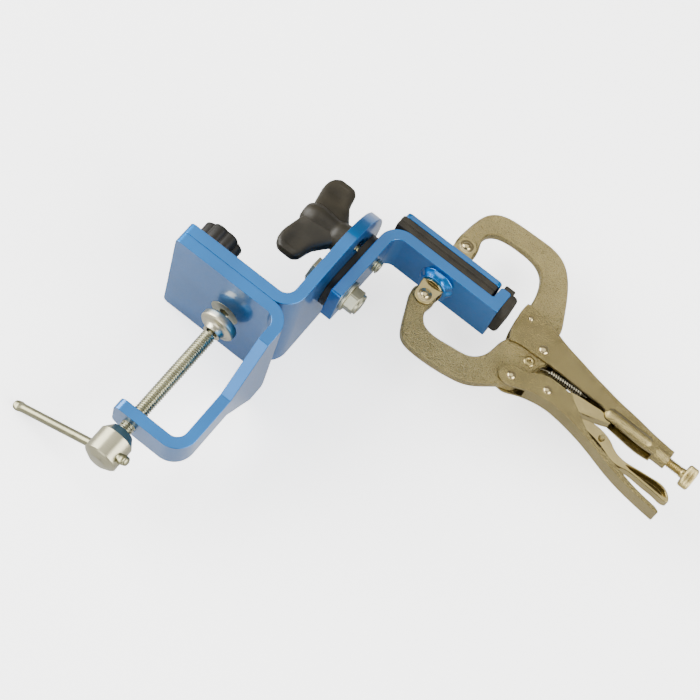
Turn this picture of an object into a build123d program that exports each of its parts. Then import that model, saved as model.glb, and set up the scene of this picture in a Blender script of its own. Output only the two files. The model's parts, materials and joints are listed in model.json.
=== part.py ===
"""Bench clamp with a tilting jaw arm, closed by a pair of locking C pliers.

Frame: X runs along the top plate and the tilt axis, Y along the clamp screw
away from its handle, Z up through the width of the flat bars. The clamp lies
on its side on Z = 0, centred on its own box in X and Y. Millimetres.

One wide bent bar makes the bench clamp. A second wide bent bar turns on its
top plate. A narrow bent bar tilts on the second bar's flange and carries the
fixed jaw. The pliers' two swivel pads are welded to the fixed and moving jaws.
"""
from math import cos, hypot, pi, radians, sin, sqrt
import os

from build123d import *

# ---- flat bar stock -------------------------------------------------------
BAR_T = 6.35            # thickness of every flat bar
WIDE_W = 76.2           # width of the two wide bars
ARM_W = 25.4            # width of the tilting arm
BEND_R = 6.0            # inside radius of each bend
CORNER_R = 3.0          # rounded corners at bar ends

# ---- bench clamp ----------------------------------------------------------
CLAMP_L = 70.0          # length of the top plate, to the spine's outer face
CLAMP_H = 84.6          # top plate's outer face to the lower arm's outer face
LOWER_W = 20.6          # width of the lower arm
LOWER_L = 42.5          # length of the lower arm
TAPER_TOP = 20.8        # where the spine starts to narrow, below the plate
TAPER_END = 45.5        # where the spine reaches the lower arm's width
SCREW_X = 38.0          # clamp screw, from the top plate's free end
SCREW_D = 7.94          # clamp screw and other 5/16 in threads
PITCH = 1.411           # 18 threads per inch
RUN_GAP = 0.05          # radial clearance of a running fit
PAD_D = 20.4            # swivel pad of the clamp screw
PAD_T = 5.4
PAD_GAP = 4.4           # pad to top plate, as stored
NECK_D = 11.0
NECK_L = 3.4
BALL_D = 6.8
TILT_GAP = 1.3          # neck to screw end, so that the pad can tip
HEAD_D = 19.0           # cross-drilled head of the clamp screw
HEAD_Y = -107.5         # its rear rim
HEAD_L = 13.5
HEAD_CONE = 4.8
HEAD_NOSE_D = 12.0
HEAD_DOME = 2.0
TBAR_D = 4.8            # sliding tommy bar
TBAR_GAP = 0.10
TBAR_LEFT = 67.7        # bar length on the low side of the head's axis
TBAR_RIGHT = 15.7
TBAR_DEG = 31.5         # bar's slope as stored
TBAR_END_D = 6.0
TBAR_END_L = 5.0

# ---- turning bracket ------------------------------------------------------
FLANGE_X = 68.0         # flange's outer face
FLANGE_H = 85.7         # flange tip above the top plate
SWIVEL_X = 36.0         # countersunk swivel screw
CSK_D = 16.9            # its head
CSK_SOCKET = 5.5
LOCK_X = 10.0           # swivel lock knob
LOCK_D = 24.0
LOCK_Y = 27.2           # top of the lock knob above the top plate
LOCK_LOBES = 7
PIVOT_Y = 43.5          # tilt axis above the top plate
STUD_R = 25.4           # tilt lock stud from the tilt axis
SLOT_DEG = 50.0         # half angle of the arc slot
SLOT_GAP = 0.4          # radial play of the stud in the slot
NUT_AF = 12.7           # 5/16 in nuts and bolt heads, across flats
HEX_H = 5.3
NYLOC_H = 7.0
WASHER_D = 17.5
WASHER_T = 1.6
SPACER_T = 3.6          # friction spacer between flange and arm
SPACER_W = 24.0

# ---- wing knob ------------------------------------------------------------
WING_T = 7.0
WING_LOBE_R = 8.4
WING_REACH = 20.6       # lobe centre from the stud axis
WING_X = 38.4           # lobe centres along X
HUB_D = 16.4
HUB_X0 = 30.6           # rear end of the hub

# ---- tilting arm ----------------------------------------------------------
TILT_DEG = 8.0          # droop of the arm as stored
ARM_END = 11.4          # arm's lower end below the tilt axis
JAW_Y = 39.8            # fixed jaw's inner face above the tilt axis
ARM_X1 = 143.7          # fixed jaw's far end
LIP_H = 54.4            # lip's tip above the tilt axis
STRIP_T = 3.6           # each rubber strip
STRIP_X0 = 73.6
STRIP_X1 = 135.8
PLATE_T = 3.2           # moving jaw plate
PLATE_X0 = 74.4
PLATE_X1 = 136.6
BUMPER_T = 4.6
BUMPER_Y0 = 40.6
BUMPER_Y1 = 57.2
BUMPER_R = 6.0          # corners of its face
BUMPER_DOME = 2.4       # rounding of its outer rim

# ---- locking pliers, in the arm's own plane --------------------------------
PAD_X = 108.4           # both swivel pads and their rivets
LOW_RIVET = 13.1        # lower pad rivet below the fixed jaw
TOP_RIVET = 10.45       # upper pad rivet above the moving plate
LOW_COLLAR = 3.4        # painted weld collars under the pads
TOP_COLLAR = 1.6
PLIER_PAD_D = 17.0
PLIER_PAD_T = 1.9
FOOT_BASE_D = 13.4      # bare base that joins the two ears
FOOT_BASE_T = 0.9
EAR_T = 1.3
EAR_R = 5.4
JAW_T = 5.6             # forged jaws
JAW_EASE = 0.8          # chamfer along their rims
SIDE_GAP = 0.2          # jaw to handle wall, each side
SHEET_T = 1.4           # pressed handles
RIVET_D = 5.0
RIVET_HEAD_D = 8.0
P_JAW = (174.5, 44.7)   # jaw pivot
P_LOW = (169.6, 20.0)   # lower jaw to lower handle
P_LINK = (188.9, 26.2)  # lower handle to toggle link
P_TOE = (222.6, 36.4)   # link's toe, against the adjusting screw
P_LEVER = (225.8, 24.5)
P_SPOT = (159.0, 55.3)
EYELET = (172.2, 34.4)
ADJ_Y = 39.4            # adjusting screw's axis
ADJ_D = 5.5
ADJ_TIP = 227.2
TUBE_X0 = 251.8
TUBE_X1 = 260.0
TUBE_D = 9.4
KNURL_X = 270.4
KNURL_T = 5.8
KNURL_D = 12.9
RIB_X0 = 222.6          # rib pressed out of each wall beside the adjusting screw
RIB_X1 = 245.2
RIB_Y = 39.2
RIB_R = 4.2
RIB_PROUD = 1.4
SPRING_D = 4.2
WIRE_D = 0.9

# ---- derived --------------------------------------------------------------
ZC = WIDE_W / 2
R_OUT = BEND_R + BAR_T
STUD_D = SCREW_D
HOLE_D = SCREW_D + 2 * RUN_GAP
ARM_X0 = FLANGE_X + SPACER_T
ARM_XF = ARM_X0 + BAR_T
JAW_TOP = JAW_Y + BAR_T
PLATE_Y = JAW_TOP + 2 * STRIP_T
PLATE_TOP = PLATE_Y + PLATE_T
R_LOW = (PAD_X, JAW_Y - LOW_RIVET)
R_TOP = (PAD_X, PLATE_TOP + TOP_RIVET)
HALF_J = JAW_T / 2
WALL_I = HALF_J + SIDE_GAP
WALL_O = WALL_I + SHEET_T
TILT = Location((0, PIVOT_Y, ZC), (-TILT_DEG, 0, 0))
parts = {}


# ---- helpers --------------------------------------------------------------
def add(name, shape):
    """Keep one named piece."""
    shape = shape.solid() if len(shape.solids()) == 1 else shape
    shape.label = name
    parts[name] = shape
    return shape


def rod(p, d, r, length):
    """Cylinder of radius r that starts at p and runs along d."""
    plane = Plane(origin=p, z_dir=d)
    return plane * Cylinder(r, length, align=(Align.CENTER, Align.CENTER, Align.MIN))


def hexagon(p, d, flats, length, turn=0.0):
    """Hexagonal prism that starts at p and runs along d."""
    plane = Plane(origin=p, z_dir=d)
    face = RegularPolygon(flats / 2, 6, major_radius=False, rotation=turn)
    return extrude(plane * face, amount=length)


def block(x0, x1, y0, y1, z0, z1):
    """Box between two corners."""
    size = (x1 - x0, y1 - y0, z1 - z0)
    mid = ((x0 + x1) / 2, (y0 + y1) / 2, (z0 + z1) / 2)
    return Pos(*mid) * Box(*size)


def outline(*runs):
    """Closed face in XY; a run of 2 points is straight, a longer one smooth."""
    edges = []
    for run in runs:
        if len(run) == 2:
            edges.append(Line(*run))
        else:
            edges.append(Spline(*run))
    wire = Wire(edges)
    return make_face(wire)


def smooth(points):
    """Closed face in XY with one smooth edge through the points."""
    return make_face(Spline(*points, periodic=True))


def eased(face, half, ease):
    """Plate of an XY face, both rims chamfered."""
    solid = slab(face, -half, half)
    rims = [e for e in solid.edges() if abs(abs(e.center().Z) - half) < 1e-3]
    return chamfer(rims, ease)


def polygon(points):
    """Closed straight-sided face in XY."""
    return make_face(Polyline(*points, close=True))


def slab(face, z0, z1):
    """Prism of an XY face between two heights."""
    return Pos(0, 0, z0) * extrude(face, amount=z1 - z0, dir=(0, 0, 1))


def disc(p, r, z0, z1):
    """Cylinder along Z at an XY point."""
    return Pos(p[0], p[1], z0) * Cylinder(
        r, z1 - z0, align=(Align.CENTER, Align.CENTER, Align.MIN))


def strip_along(points, z0, z1):
    """Square-cornered strip of stock thickness along a centre line in XY."""
    left = offset_points(points, BAR_T / 2)
    right = offset_points(points, -BAR_T / 2)
    return slab(make_face(Polyline(*left, *reversed(right), close=True)), z0, z1)


def offset_points(points, d):
    """Mitred parallel of an open polyline."""
    out = []
    n = len(points)
    for i, (x, y) in enumerate(points):
        dirs = []
        if i > 0:
            dirs.append(unit(points[i - 1], points[i]))
        if i < n - 1:
            dirs.append(unit(points[i], points[i + 1]))
        nx = -sum(u[1] for u in dirs)
        ny = sum(u[0] for u in dirs)
        size = hypot(nx, ny)
        nx, ny = nx / size, ny / size
        lean = -nx * dirs[0][1] + ny * dirs[0][0]
        out.append((x + d * nx / lean, y + d * ny / lean))
    return out


def unit(a, b):
    """Unit vector from a to b."""
    size = hypot(b[0] - a[0], b[1] - a[1])
    return ((b[0] - a[0]) / size, (b[1] - a[1]) / size)


def edges_at(solid, points, tol=0.05):
    """Edges parallel to Z that stand at the given XY points."""
    found = []
    for edge in solid.edges().filter_by(Axis.Z):
        c = edge.center()
        if any(hypot(c.X - x, c.Y - y) < tol for x, y in points):
            found.append(edge)
    return found


def bar(points, z0, z1):
    """Bent flat bar: mitred strip, then its inner and outer bends rounded."""
    solid = strip_along(points, z0, z1)
    left = offset_points(points, BAR_T / 2)[1:-1]
    right = offset_points(points, -BAR_T / 2)[1:-1]
    for i in range(len(left)):
        a, b, c = points[i], points[i + 1], points[i + 2]
        u, v = unit(a, b), unit(b, c)
        turn_left = u[0] * v[1] - u[1] * v[0] > 0
        inner, outer = (left[i], right[i]) if turn_left else (right[i], left[i])
        solid = fillet(edges_at(solid, [inner]), BEND_R)
        solid = fillet(edges_at(solid, [outer]), R_OUT)
    return solid


def soften(solid, points, radius):
    """Round the upright edges that stand at the given XY points."""
    return fillet(edges_at(solid, points), radius)


def round_bar_end(solid, axis, radius, test):
    """Round the corners of a bar's end; test picks the edges by centre."""
    picked = [e for e in solid.edges().filter_by(axis) if test(e.center())]
    return fillet(picked, radius)


# ---- bench clamp frame ----------------------------------------------------
h = BAR_T / 2
clamp_path = [(0, -h), (CLAMP_L - h, -h), (CLAMP_L - h, -CLAMP_H + h),
              (CLAMP_L - LOWER_L, -CLAMP_H + h)]
clamp = bar(clamp_path, 0, WIDE_W)
side = (WIDE_W - LOWER_W) / 2
far = 2 * CLAMP_H
for sign in (0, 1):
    z_a, z_b = (0, side) if sign == 0 else (WIDE_W, WIDE_W - side)
    z_out = -1 if sign == 0 else WIDE_W + 1
    profile = Plane.YZ * make_face(Polyline(
        (-TAPER_TOP, z_out), (-TAPER_TOP, z_a), (-TAPER_END, z_b), (-far, z_b),
        (-far, z_out), close=True))
    clamp -= Pos(-1, 0, 0) * extrude(profile, amount=CLAMP_L + 2, dir=(1, 0, 0))
clamp = round_bar_end(clamp, Axis.Y, CORNER_R, lambda c: abs(c.X) < 0.1)
clamp = round_bar_end(clamp, Axis.Y, CORNER_R + 1,
                      lambda c: abs(c.X - CLAMP_L + LOWER_L) < 0.1)
clamp -= rod((SCREW_X, -CLAMP_H - 1, ZC), (0, 1, 0), HOLE_D / 2, BAR_T + 2)
clamp -= rod((SWIVEL_X, -BAR_T - 1, ZC), (0, 1, 0), HOLE_D / 2, BAR_T + 2)
csk_r = CSK_D / 2 + RUN_GAP
csk_deep = csk_r - HOLE_D / 2
clamp -= Plane(origin=(SWIVEL_X, -BAR_T, ZC), z_dir=(0, 1, 0)) * Cone(
    csk_r, HOLE_D / 2, csk_deep, align=(Align.CENTER, Align.CENTER, Align.MIN))
add("bench_clamp_frame", clamp)

# ---- clamp screw ----------------------------------------------------------
pad_front = -BAR_T - PAD_GAP
pad_back = pad_front - PAD_T
neck_end = pad_back - NECK_L
ball_y = pad_back + 0.9
pad_prof = Polyline((0, 0), (PAD_D / 2 - 0.8, 0), (PAD_D / 2, -0.8), (PAD_D / 2, -PAD_T + 1.4),
                    (PAD_D / 2 - 0.6, -PAD_T + 0.8), (NECK_D / 2 + 2.2, -PAD_T),
                    (NECK_D / 2, -PAD_T - 1.0), (NECK_D / 2 - 0.5, -PAD_T - NECK_L),
                    (0, -PAD_T - NECK_L), close=True)
pad = revolve(make_face(pad_prof), Axis.Y)
pad -= Pos(0, ball_y - pad_front, 0) * Sphere(BALL_D / 2 + RUN_GAP)
pad -= Plane(origin=(0, -PAD_T - NECK_L - 0.1, 0), z_dir=(0, 1, 0)) * Cone(
    3.2, 2.5, NECK_L - 1.2, align=(Align.CENTER, Align.CENTER, Align.MIN))
add("swivel_pad", Pos(SCREW_X, pad_front, ZC) * pad)
ball = Pos(SCREW_X, ball_y, ZC) * Sphere(BALL_D / 2)
screw_y1 = neck_end - TILT_GAP
stub = rod((SCREW_X, screw_y1, ZC), (0, 1, 0), 1.9, ball_y - screw_y1)
add("ball_tip", ball + stub)

head_front = HEAD_Y + HEAD_L
nose_y = head_front + HEAD_CONE
stem = rod((SCREW_X, head_front - 3.0, ZC), (0, 1, 0), SCREW_D / 2, screw_y1 - head_front + 3.0)
stem = chamfer(stem.edges().filter_by(GeomType.CIRCLE).sort_by(Axis.Y)[-1], 0.9)
add("clamp_screw", stem)
head_prof = Polyline((0, nose_y), (HEAD_NOSE_D / 2, nose_y), (HEAD_D / 2, head_front),
                     (HEAD_D / 2, HEAD_Y + 0.7), (HEAD_D / 2 - 0.7, HEAD_Y),
                     (HEAD_D / 2 - 4.5, HEAD_Y - HEAD_DOME), (0, HEAD_Y - HEAD_DOME), close=True)
head = revolve(make_face(head_prof), Axis.Y)
head -= rod((0, head_front - 3.0, 0), (0, 1, 0), SCREW_D / 2, HEAD_CONE + 4)
tb = radians(TBAR_DEG)
tdir = (cos(tb), 0, sin(tb))
tbar_y = (HEAD_Y + head_front) / 2 - 1.4
head -= rod((-20 * cos(tb), tbar_y, -20 * sin(tb)), tdir, TBAR_D / 2 + TBAR_GAP, 40)
add("screw_head", Pos(SCREW_X, 0, ZC) * head)
tlen = TBAR_LEFT + TBAR_RIGHT
tbar_plane = Plane(origin=(SCREW_X - TBAR_LEFT * cos(tb), tbar_y, ZC - TBAR_LEFT * sin(tb)),
                   z_dir=tdir, x_dir=(0, 1, 0))
tprof = Polyline((0, 0), (TBAR_D / 2 - 0.9, 0), (TBAR_D / 2, 0.9), (TBAR_D / 2, tlen - 0.9),
                 (TBAR_D / 2 - 0.9, tlen), (0, tlen), close=True)
tbar = revolve(Plane.XZ * make_face(tprof), Axis.Z)
for zz in (TBAR_END_L / 2 + 0.8, tlen - TBAR_END_L / 2 - 0.8):
    lug = Pos(0, 0, zz) * Box(TBAR_END_D, TBAR_D * 0.62, TBAR_END_L)
    tbar += fillet(lug.edges().filter_by(Axis.Z), 1.0)
add("tommy_bar", tbar_plane * tbar)

# ---- turning bracket ------------------------------------------------------
br_path = [(0, h), (FLANGE_X - h, h), (FLANGE_X - h, FLANGE_H)]
bracket = bar(br_path, 0, WIDE_W)
nose_r = WIDE_W / 2
keep = rod((FLANGE_X - BAR_T - 1, FLANGE_H - nose_r, ZC), (1, 0, 0), nose_r, BAR_T + 2)
keep += block(-1, FLANGE_X + 1, -1, FLANGE_H - nose_r, -1, WIDE_W + 1)
bracket = bracket & keep
bracket = round_bar_end(bracket, Axis.Y, CORNER_R, lambda c: abs(c.X) < 0.1)
bracket -= rod((SWIVEL_X, -1, ZC), (0, 1, 0), HOLE_D / 2, BAR_T + 2)
bracket -= rod((LOCK_X, -1, ZC), (0, 1, 0), HOLE_D / 2, BAR_T + 2)
bracket -= rod((FLANGE_X - BAR_T - 1, PIVOT_Y, ZC), (1, 0, 0), HOLE_D / 2, BAR_T + 2)
slot_w = STUD_D + 2 * SLOT_GAP
arc = CenterArc((0, 0), STUD_R, 90 - SLOT_DEG, 2 * SLOT_DEG)
slot_face = offset(arc, amount=slot_w / 2, side=Side.BOTH, kind=Kind.ARC)
slot_face = make_face(slot_face.edges())
slot_plane = Plane(origin=(FLANGE_X - BAR_T - 1, PIVOT_Y, ZC), z_dir=(1, 0, 0), x_dir=(0, 0, -1))
bracket -= extrude(slot_plane * slot_face, amount=BAR_T + 2)
add("turning_bracket", bracket)

# swivel screw, its washer and lock nut
shank_top = BAR_T + WASHER_T + NYLOC_H + 1.0
csk = Plane(origin=(SWIVEL_X, -BAR_T, ZC), z_dir=(0, 1, 0)) * Cone(
    CSK_D / 2, SCREW_D / 2, (CSK_D - SCREW_D) / 2, align=(Align.CENTER, Align.CENTER, Align.MIN))
csk += rod((SWIVEL_X, -BAR_T + 1, ZC), (0, 1, 0), SCREW_D / 2, BAR_T - 1 + shank_top)
csk -= hexagon((SWIVEL_X, -BAR_T - 0.1, ZC), (0, 1, 0), CSK_SOCKET, 3.1)
add("swivel_screw", csk)


def washer(p, d, inner=SCREW_D / 2 + 0.08):
    """Flat washer that starts at p."""
    return rod(p, d, WASHER_D / 2, WASHER_T) - rod(p, d, inner, WASHER_T)


def nyloc(p, d, turn=0.0):
    """Lock nut body, chamfered at both ends, with a collar for the insert."""
    body = hexagon(p, d, NUT_AF, NYLOC_H * 0.78, turn)
    body += rod(p, d, NUT_AF / 2 - 0.5, NYLOC_H)
    body &= rod(p, d, NUT_AF / sqrt(3) - 0.25, NYLOC_H)
    body -= rod(p, d, SCREW_D / 2 + RUN_GAP, NYLOC_H)
    q = tuple(p[i] + d[i] * (NYLOC_H - 1.9) for i in range(3))
    body -= rod(q, d, NUT_AF / 2 - 1.4, 2.0)
    ring = rod(q, d, NUT_AF / 2 - 1.4, 1.6) - rod(q, d, SCREW_D / 2 + RUN_GAP, 1.6)
    return body, ring


add("swivel_washer", washer((SWIVEL_X, BAR_T, ZC), (0, 1, 0)))
nut, ring = nyloc((SWIVEL_X, BAR_T + WASHER_T, ZC), (0, 1, 0))
add("swivel_nut", nut)
add("swivel_nut_insert", ring)

# swivel lock: threaded stud whose tip bears on the top plate, lobed knob
lock_foot = BAR_T + 3.0
add("swivel_lock_stud", rod((LOCK_X, 0, ZC), (0, 1, 0), SCREW_D / 2, LOCK_Y - 5.0))
lobe_face = Circle(LOCK_D / 2 - 1.6)
for i in range(LOCK_LOBES):
    k = 2 * pi * i / LOCK_LOBES + 0.35
    lobe_face += Pos((LOCK_D / 2 - 3.4) * cos(k), (LOCK_D / 2 - 3.4) * sin(k)) * Circle(3.4)
for i in range(LOCK_LOBES):
    k = 2 * pi * (i + 0.5) / LOCK_LOBES + 0.35
    lobe_face -= Pos((LOCK_D / 2 + 0.9) * cos(k), (LOCK_D / 2 + 0.9) * sin(k)) * Circle(3.0)
lock_plane = Plane(origin=(LOCK_X, 0, ZC), z_dir=(0, 1, 0))
grip_y = BAR_T + 8.0
knob = extrude(lock_plane.offset(grip_y) * lobe_face, amount=LOCK_Y - grip_y)
knob += lock_plane.offset(lock_foot) * Cone(
    HUB_D / 2 - 1.2, LOCK_D / 2 - 2.4, grip_y - lock_foot + 0.5,
    align=(Align.CENTER, Align.CENTER, Align.MIN))
knob = knob & (lock_plane.offset(lock_foot) * Cylinder(
    LOCK_D / 2, LOCK_Y - lock_foot, align=(Align.CENTER, Align.CENTER, Align.MIN)))
knob -= rod((LOCK_X, 0, ZC), (0, 1, 0), SCREW_D / 2 + RUN_GAP, LOCK_Y - 5.0)
add("swivel_lock_knob", knob)

# tilt axis: bolt, washers and lock nut
fx0 = FLANGE_X - BAR_T
bolt_end = ARM_XF + WASHER_T + NYLOC_H + 0.4
bolt = hexagon((fx0 - WASHER_T - HEX_H, PIVOT_Y, ZC), (1, 0, 0), NUT_AF, HEX_H, 12)
bolt += rod((fx0 - WASHER_T - 0.1, PIVOT_Y, ZC), (1, 0, 0), SCREW_D / 2,
            bolt_end - fx0 + WASHER_T + 0.1)
add("tilt_bolt", bolt)
add("tilt_head_washer", washer((fx0 - WASHER_T, PIVOT_Y, ZC), (1, 0, 0)))
add("tilt_nut_washer", washer((ARM_XF, PIVOT_Y, ZC), (1, 0, 0)))
nut, ring = nyloc((ARM_XF + WASHER_T, PIVOT_Y, ZC), (1, 0, 0), 12)
add("tilt_nut", nut)
add("tilt_nut_insert", ring)


# ---- tilting arm, in its own plane ----------------------------------------
def tilted(name, shape):
    """Keep a piece made in the arm's own plane."""
    return add(name, TILT * shape)


half_w = ARM_W / 2
spacer = slab(SlotCenterToCenter(STUD_R, SPACER_W), 0, SPACER_T)
spacer = Plane(origin=(FLANGE_X, STUD_R / 2, 0), z_dir=(1, 0, 0), x_dir=(0, 1, 0)) * spacer
for yy in (0, STUD_R):
    spacer -= rod((FLANGE_X - 1, yy, 0), (1, 0, 0), HOLE_D / 2, SPACER_T + 2)
tilted("friction_spacer", spacer)

arm_path = [(ARM_X0 + h, -ARM_END), (ARM_X0 + h, JAW_Y + h), (ARM_X1, JAW_Y + h)]
arm = bar(arm_path, -half_w, half_w)
arm += block(ARM_X1 - BAR_T, ARM_X1, JAW_Y, LIP_H, -half_w, half_w)
arm = soften(arm, [(ARM_X1 - BAR_T, LIP_H), (ARM_X1, LIP_H)], 1.6)
arm = soften(arm, [(ARM_X1 - BAR_T, JAW_TOP)], 1.4)
arm = soften(arm, [(ARM_X1, JAW_Y)], 0.8)
arm = round_bar_end(arm, Axis.X, 1.8, lambda c: abs(c.Y + ARM_END) < 0.1)
for yy in (0, STUD_R):
    arm -= rod((ARM_X0 - 1, yy, 0), (1, 0, 0), HOLE_D / 2, BAR_T + 2)
tilted("tilting_arm", arm)

strip_r = 1.5
for name, y0 in (("fixed_jaw_strip", JAW_TOP), ("moving_jaw_strip", JAW_TOP + STRIP_T)):
    strip = block(STRIP_X0, STRIP_X1, y0, y0 + STRIP_T, -half_w, half_w)
    tilted(name, fillet(strip.edges().filter_by(Axis.Y), strip_r))
plate = block(PLATE_X0, PLATE_X1, PLATE_Y, PLATE_TOP, -half_w, half_w)
plate = fillet(plate.edges().filter_by(Axis.Y), strip_r + 1)
tilted("moving_jaw_plate", plate)
bumper = block(ARM_X1, ARM_X1 + BUMPER_T, BUMPER_Y0, BUMPER_Y1, -half_w + 3.5, half_w)
bumper = fillet(bumper.edges().filter_by(Axis.X), BUMPER_R)
bumper = fillet(bumper.edges().filter_by(lambda e: e.center().X > ARM_X1 + BUMPER_T - 0.01), BUMPER_DOME)
cap = block(ARM_X1 - BAR_T + 1.2, ARM_X1 + 1.0, LIP_H - 1.6, BUMPER_Y1, -half_w + 9.5, half_w - 0.3)
cap = fillet(cap.edges().filter_by(Axis.Z).filter_by(lambda e: e.center().Y > LIP_H), 0.9)
bumper += cap - arm
tilted("lip_bumper", bumper)


def swivel_foot(y_face, away, collar):
    """Weld collar with the painted pad, and the bare base of the ears; away is -1 or 1."""
    top = y_face + away * collar
    ring_plane = Plane(origin=(PAD_X, y_face, 0), z_dir=(0, away, 0))
    weld = ring_plane * Cone(PLIER_PAD_D / 2 + 1.6, PLIER_PAD_D / 2 - 0.4, collar,
                             align=(Align.CENTER, Align.CENTER, Align.MIN))
    painted_t = PLIER_PAD_T - FOOT_BASE_T
    weld += rod((PAD_X, top, 0), (0, away, 0), PLIER_PAD_D / 2, painted_t)
    foot = rod((PAD_X, top + away * painted_t, 0), (0, away, 0), FOOT_BASE_D / 2, FOOT_BASE_T)
    return weld, foot, top + away * PLIER_PAD_T


def ears(foot, y_root, rivet, away):
    """Fold two ears from the pad down to the rivet, both sides of the jaw."""
    for s in (-1, 1):
        z0, z1 = (WALL_I, WALL_I + EAR_T) if s > 0 else (-WALL_I - EAR_T, -WALL_I)
        ear = disc(rivet, EAR_R, z0, z1)
        ear += slab(polygon([(PAD_X - 6.4, y_root - away * 0.6), (PAD_X + 6.4, y_root - away * 0.6),
                             (rivet[0] + EAR_R * 0.96, rivet[1]),
                             (rivet[0] - EAR_R * 0.96, rivet[1])]), z0, z1)
        foot += ear
    return foot - disc(rivet, RIVET_D / 2 + RUN_GAP, -9, 9)


def rivet_pin(p, reach, head_d=RIVET_HEAD_D, head_h=1.6, shank=RIVET_D):
    """Domed rivet across the jaw, heads outside reach."""
    pin = disc(p, shank / 2, -reach - 0.2, reach + 0.2)
    for s in (-1, 1):
        dome = disc(p, head_d / 2, reach, reach + head_h)
        big = (head_d ** 2 / 4 + head_h ** 2) / (2 * head_h)
        ball_cut = Pos(p[0], p[1], reach + head_h - big) * Sphere(big)
        dome = dome & ball_cut
        pin += dome if s > 0 else mirror(dome, about=Plane.XY)
    return pin


weld, foot, root = swivel_foot(JAW_Y, -1, LOW_COLLAR)
tilted("fixed_pad_weld", weld)
tilted("fixed_swivel_foot", ears(foot, root, R_LOW, -1))
weld, foot, root_top = swivel_foot(PLATE_TOP, 1, TOP_COLLAR)
tilted("moving_pad_weld", weld)
tilted("moving_swivel_foot", ears(foot, root_top, R_TOP, 1))
ear_out = WALL_I + EAR_T
tilted("fixed_foot_rivet", rivet_pin(R_LOW, ear_out + 0.05))
tilted("moving_foot_rivet", rivet_pin(R_TOP, ear_out + 0.05))

# wing knob and its stud, threaded into the arm
fx_l = fx0
stud_end = ARM_XF + 3.2
tilted("tilt_lock_stud", rod((WING_X - 2, STUD_R, 0), (1, 0, 0), STUD_D / 2, stud_end - WING_X + 2))
hub_r = HUB_D / 2
hub = rod((HUB_X0 + 4, STUD_R, 0), (1, 0, 0), hub_r, fx_l - HUB_X0 - 4)
hub += Pos(HUB_X0 + 6.0, STUD_R, 0) * Sphere(7.2)
wing = None
for s in (-1, 1):
    cy = STUD_R + s * WING_REACH
    paddle = disc((WING_X, cy), WING_LOBE_R, -WING_T / 2, WING_T / 2)
    paddle += slab(polygon([
        (WING_X - WING_LOBE_R * 0.92, cy - s * 3.0), (WING_X + WING_LOBE_R * 0.98, cy - s * 1.5),
        (FLANGE_X - BAR_T - 10.6, STUD_R + s * 6.0), (HUB_X0 + 2.4, STUD_R + s * 5.0)]),
        -WING_T / 2, WING_T / 2)
    wing = paddle if wing is None else wing + paddle
knob = hub + wing
knob -= rod((WING_X - 2, STUD_R, 0), (1, 0, 0), STUD_D / 2 + RUN_GAP, 60)
tilted("wing_knob", knob)

# ---- pliers: jaws ---------------------------------------------------------
rl, rt = R_LOW, R_TOP
low_jaw = smooth([
    (rl[0] - 7.2, rl[1] + 1.0), (rl[0] - 5.3, rl[1] + 4.9), (rl[0], rl[1] + 7.1),
    (rl[0] + 5.2, rl[1] + 4.7), (rl[0] + 6.3, rl[1] + 0.2), (114.0, 21.8), (115.3, 16.9),
    (118.4, 13.4), (123.5, 11.7), (129.3, 11.8), (135.3, 12.7), (141.2, 13.6), (146.8, 15.4),
    (150.6, 19.0), (153.0, 25.0), (154.2, 33.3), (157.4, 40.4), (162.6, 46.6),
    (168.4, 50.6), (174.6, 52.0), (180.2, 49.6), (181.9, 44.2), (179.8, 38.4), (177.6, 32.6),
    (176.7, 27.0), (175.8, 21.0), (173.6, 16.2), (169.0, 13.9), (164.8, 10.6), (160.4, 6.6),
    (155.4, 2.8), (150.1, 0.4), (144.5, -0.9), (138.8, -1.9), (132.7, -2.5), (126.5, -2.8),
    (119.8, -2.5), (114.8, -1.2), (111.4, 1.8), (108.8, 6.6), (106.2, 12.6), (103.4, 19.5)])
lower = eased(low_jaw, HALF_J, JAW_EASE)
for p in (P_JAW, P_LOW, R_LOW):
    lower -= disc(p, RIVET_D / 2 + RUN_GAP, -9, 9)
lower -= disc(EYELET, 1.5, -9, 9)
spr_a = (EYELET[0] + 11.0, EYELET[1] + 4.2)
spr_b = (204.0, 40.3)
spr_u = unit(EYELET, spr_a)
lower -= slab(polygon([
    (EYELET[0] + 1.0 * spr_u[1], EYELET[1] - 1.0 * spr_u[0]), (spr_a[0], spr_a[1] - 1.4),
    (spr_a[0], spr_a[1] + 1.4), (EYELET[0] - 1.0 * spr_u[1], EYELET[1] + 1.0 * spr_u[0])]),
    -0.9, 0.9)
tilted("lower_jaw", lower)

up_jaw = smooth([
    (rt[0] + 4.6, rt[1] - 4.4), (rt[0], rt[1] - 6.4), (rt[0] - 4.6, rt[1] - 4.4),
    (rt[0] - 6.6, rt[1] + 0.2), (rt[0] - 6.6, rt[1] + 6.4), (102.4, 79.6),
    (103.6, 87.4), (105.8, 93.4), (109.9, 97.8), (115.7, 100.3), (121.9, 101.2), (128.4, 101.6),
    (135.0, 101.8), (144.9, 101.7), (152.9, 99.0), (160.0, 92.6), (167.4, 80.6), (173.0, 68.6),
    (175.8, 60.6), (175.2, 55.2), (170.4, 53.2), (164.6, 51.2), (159.0, 49.6), (154.8, 51.4),
    (153.6, 56.0), (153.9, 62.4), (153.4, 69.7), (151.6, 77.0), (148.4, 83.2), (144.0, 86.8),
    (138.2, 88.6), (131.5, 89.0), (125.0, 88.7), (118.8, 87.4), (114.4, 84.6), (112.4, 80.4),
    (112.9, 75.6), (rt[0] + 6.2, rt[1] + 3.4), (rt[0] + 6.4, rt[1] - 0.8)])
upper = eased(up_jaw, HALF_J, JAW_EASE)
upper -= disc(R_TOP, RIVET_D / 2 + RUN_GAP, -9, 9)
upper -= disc(P_SPOT, 1.5, -9, 9)
tilted("upper_jaw", upper)


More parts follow.
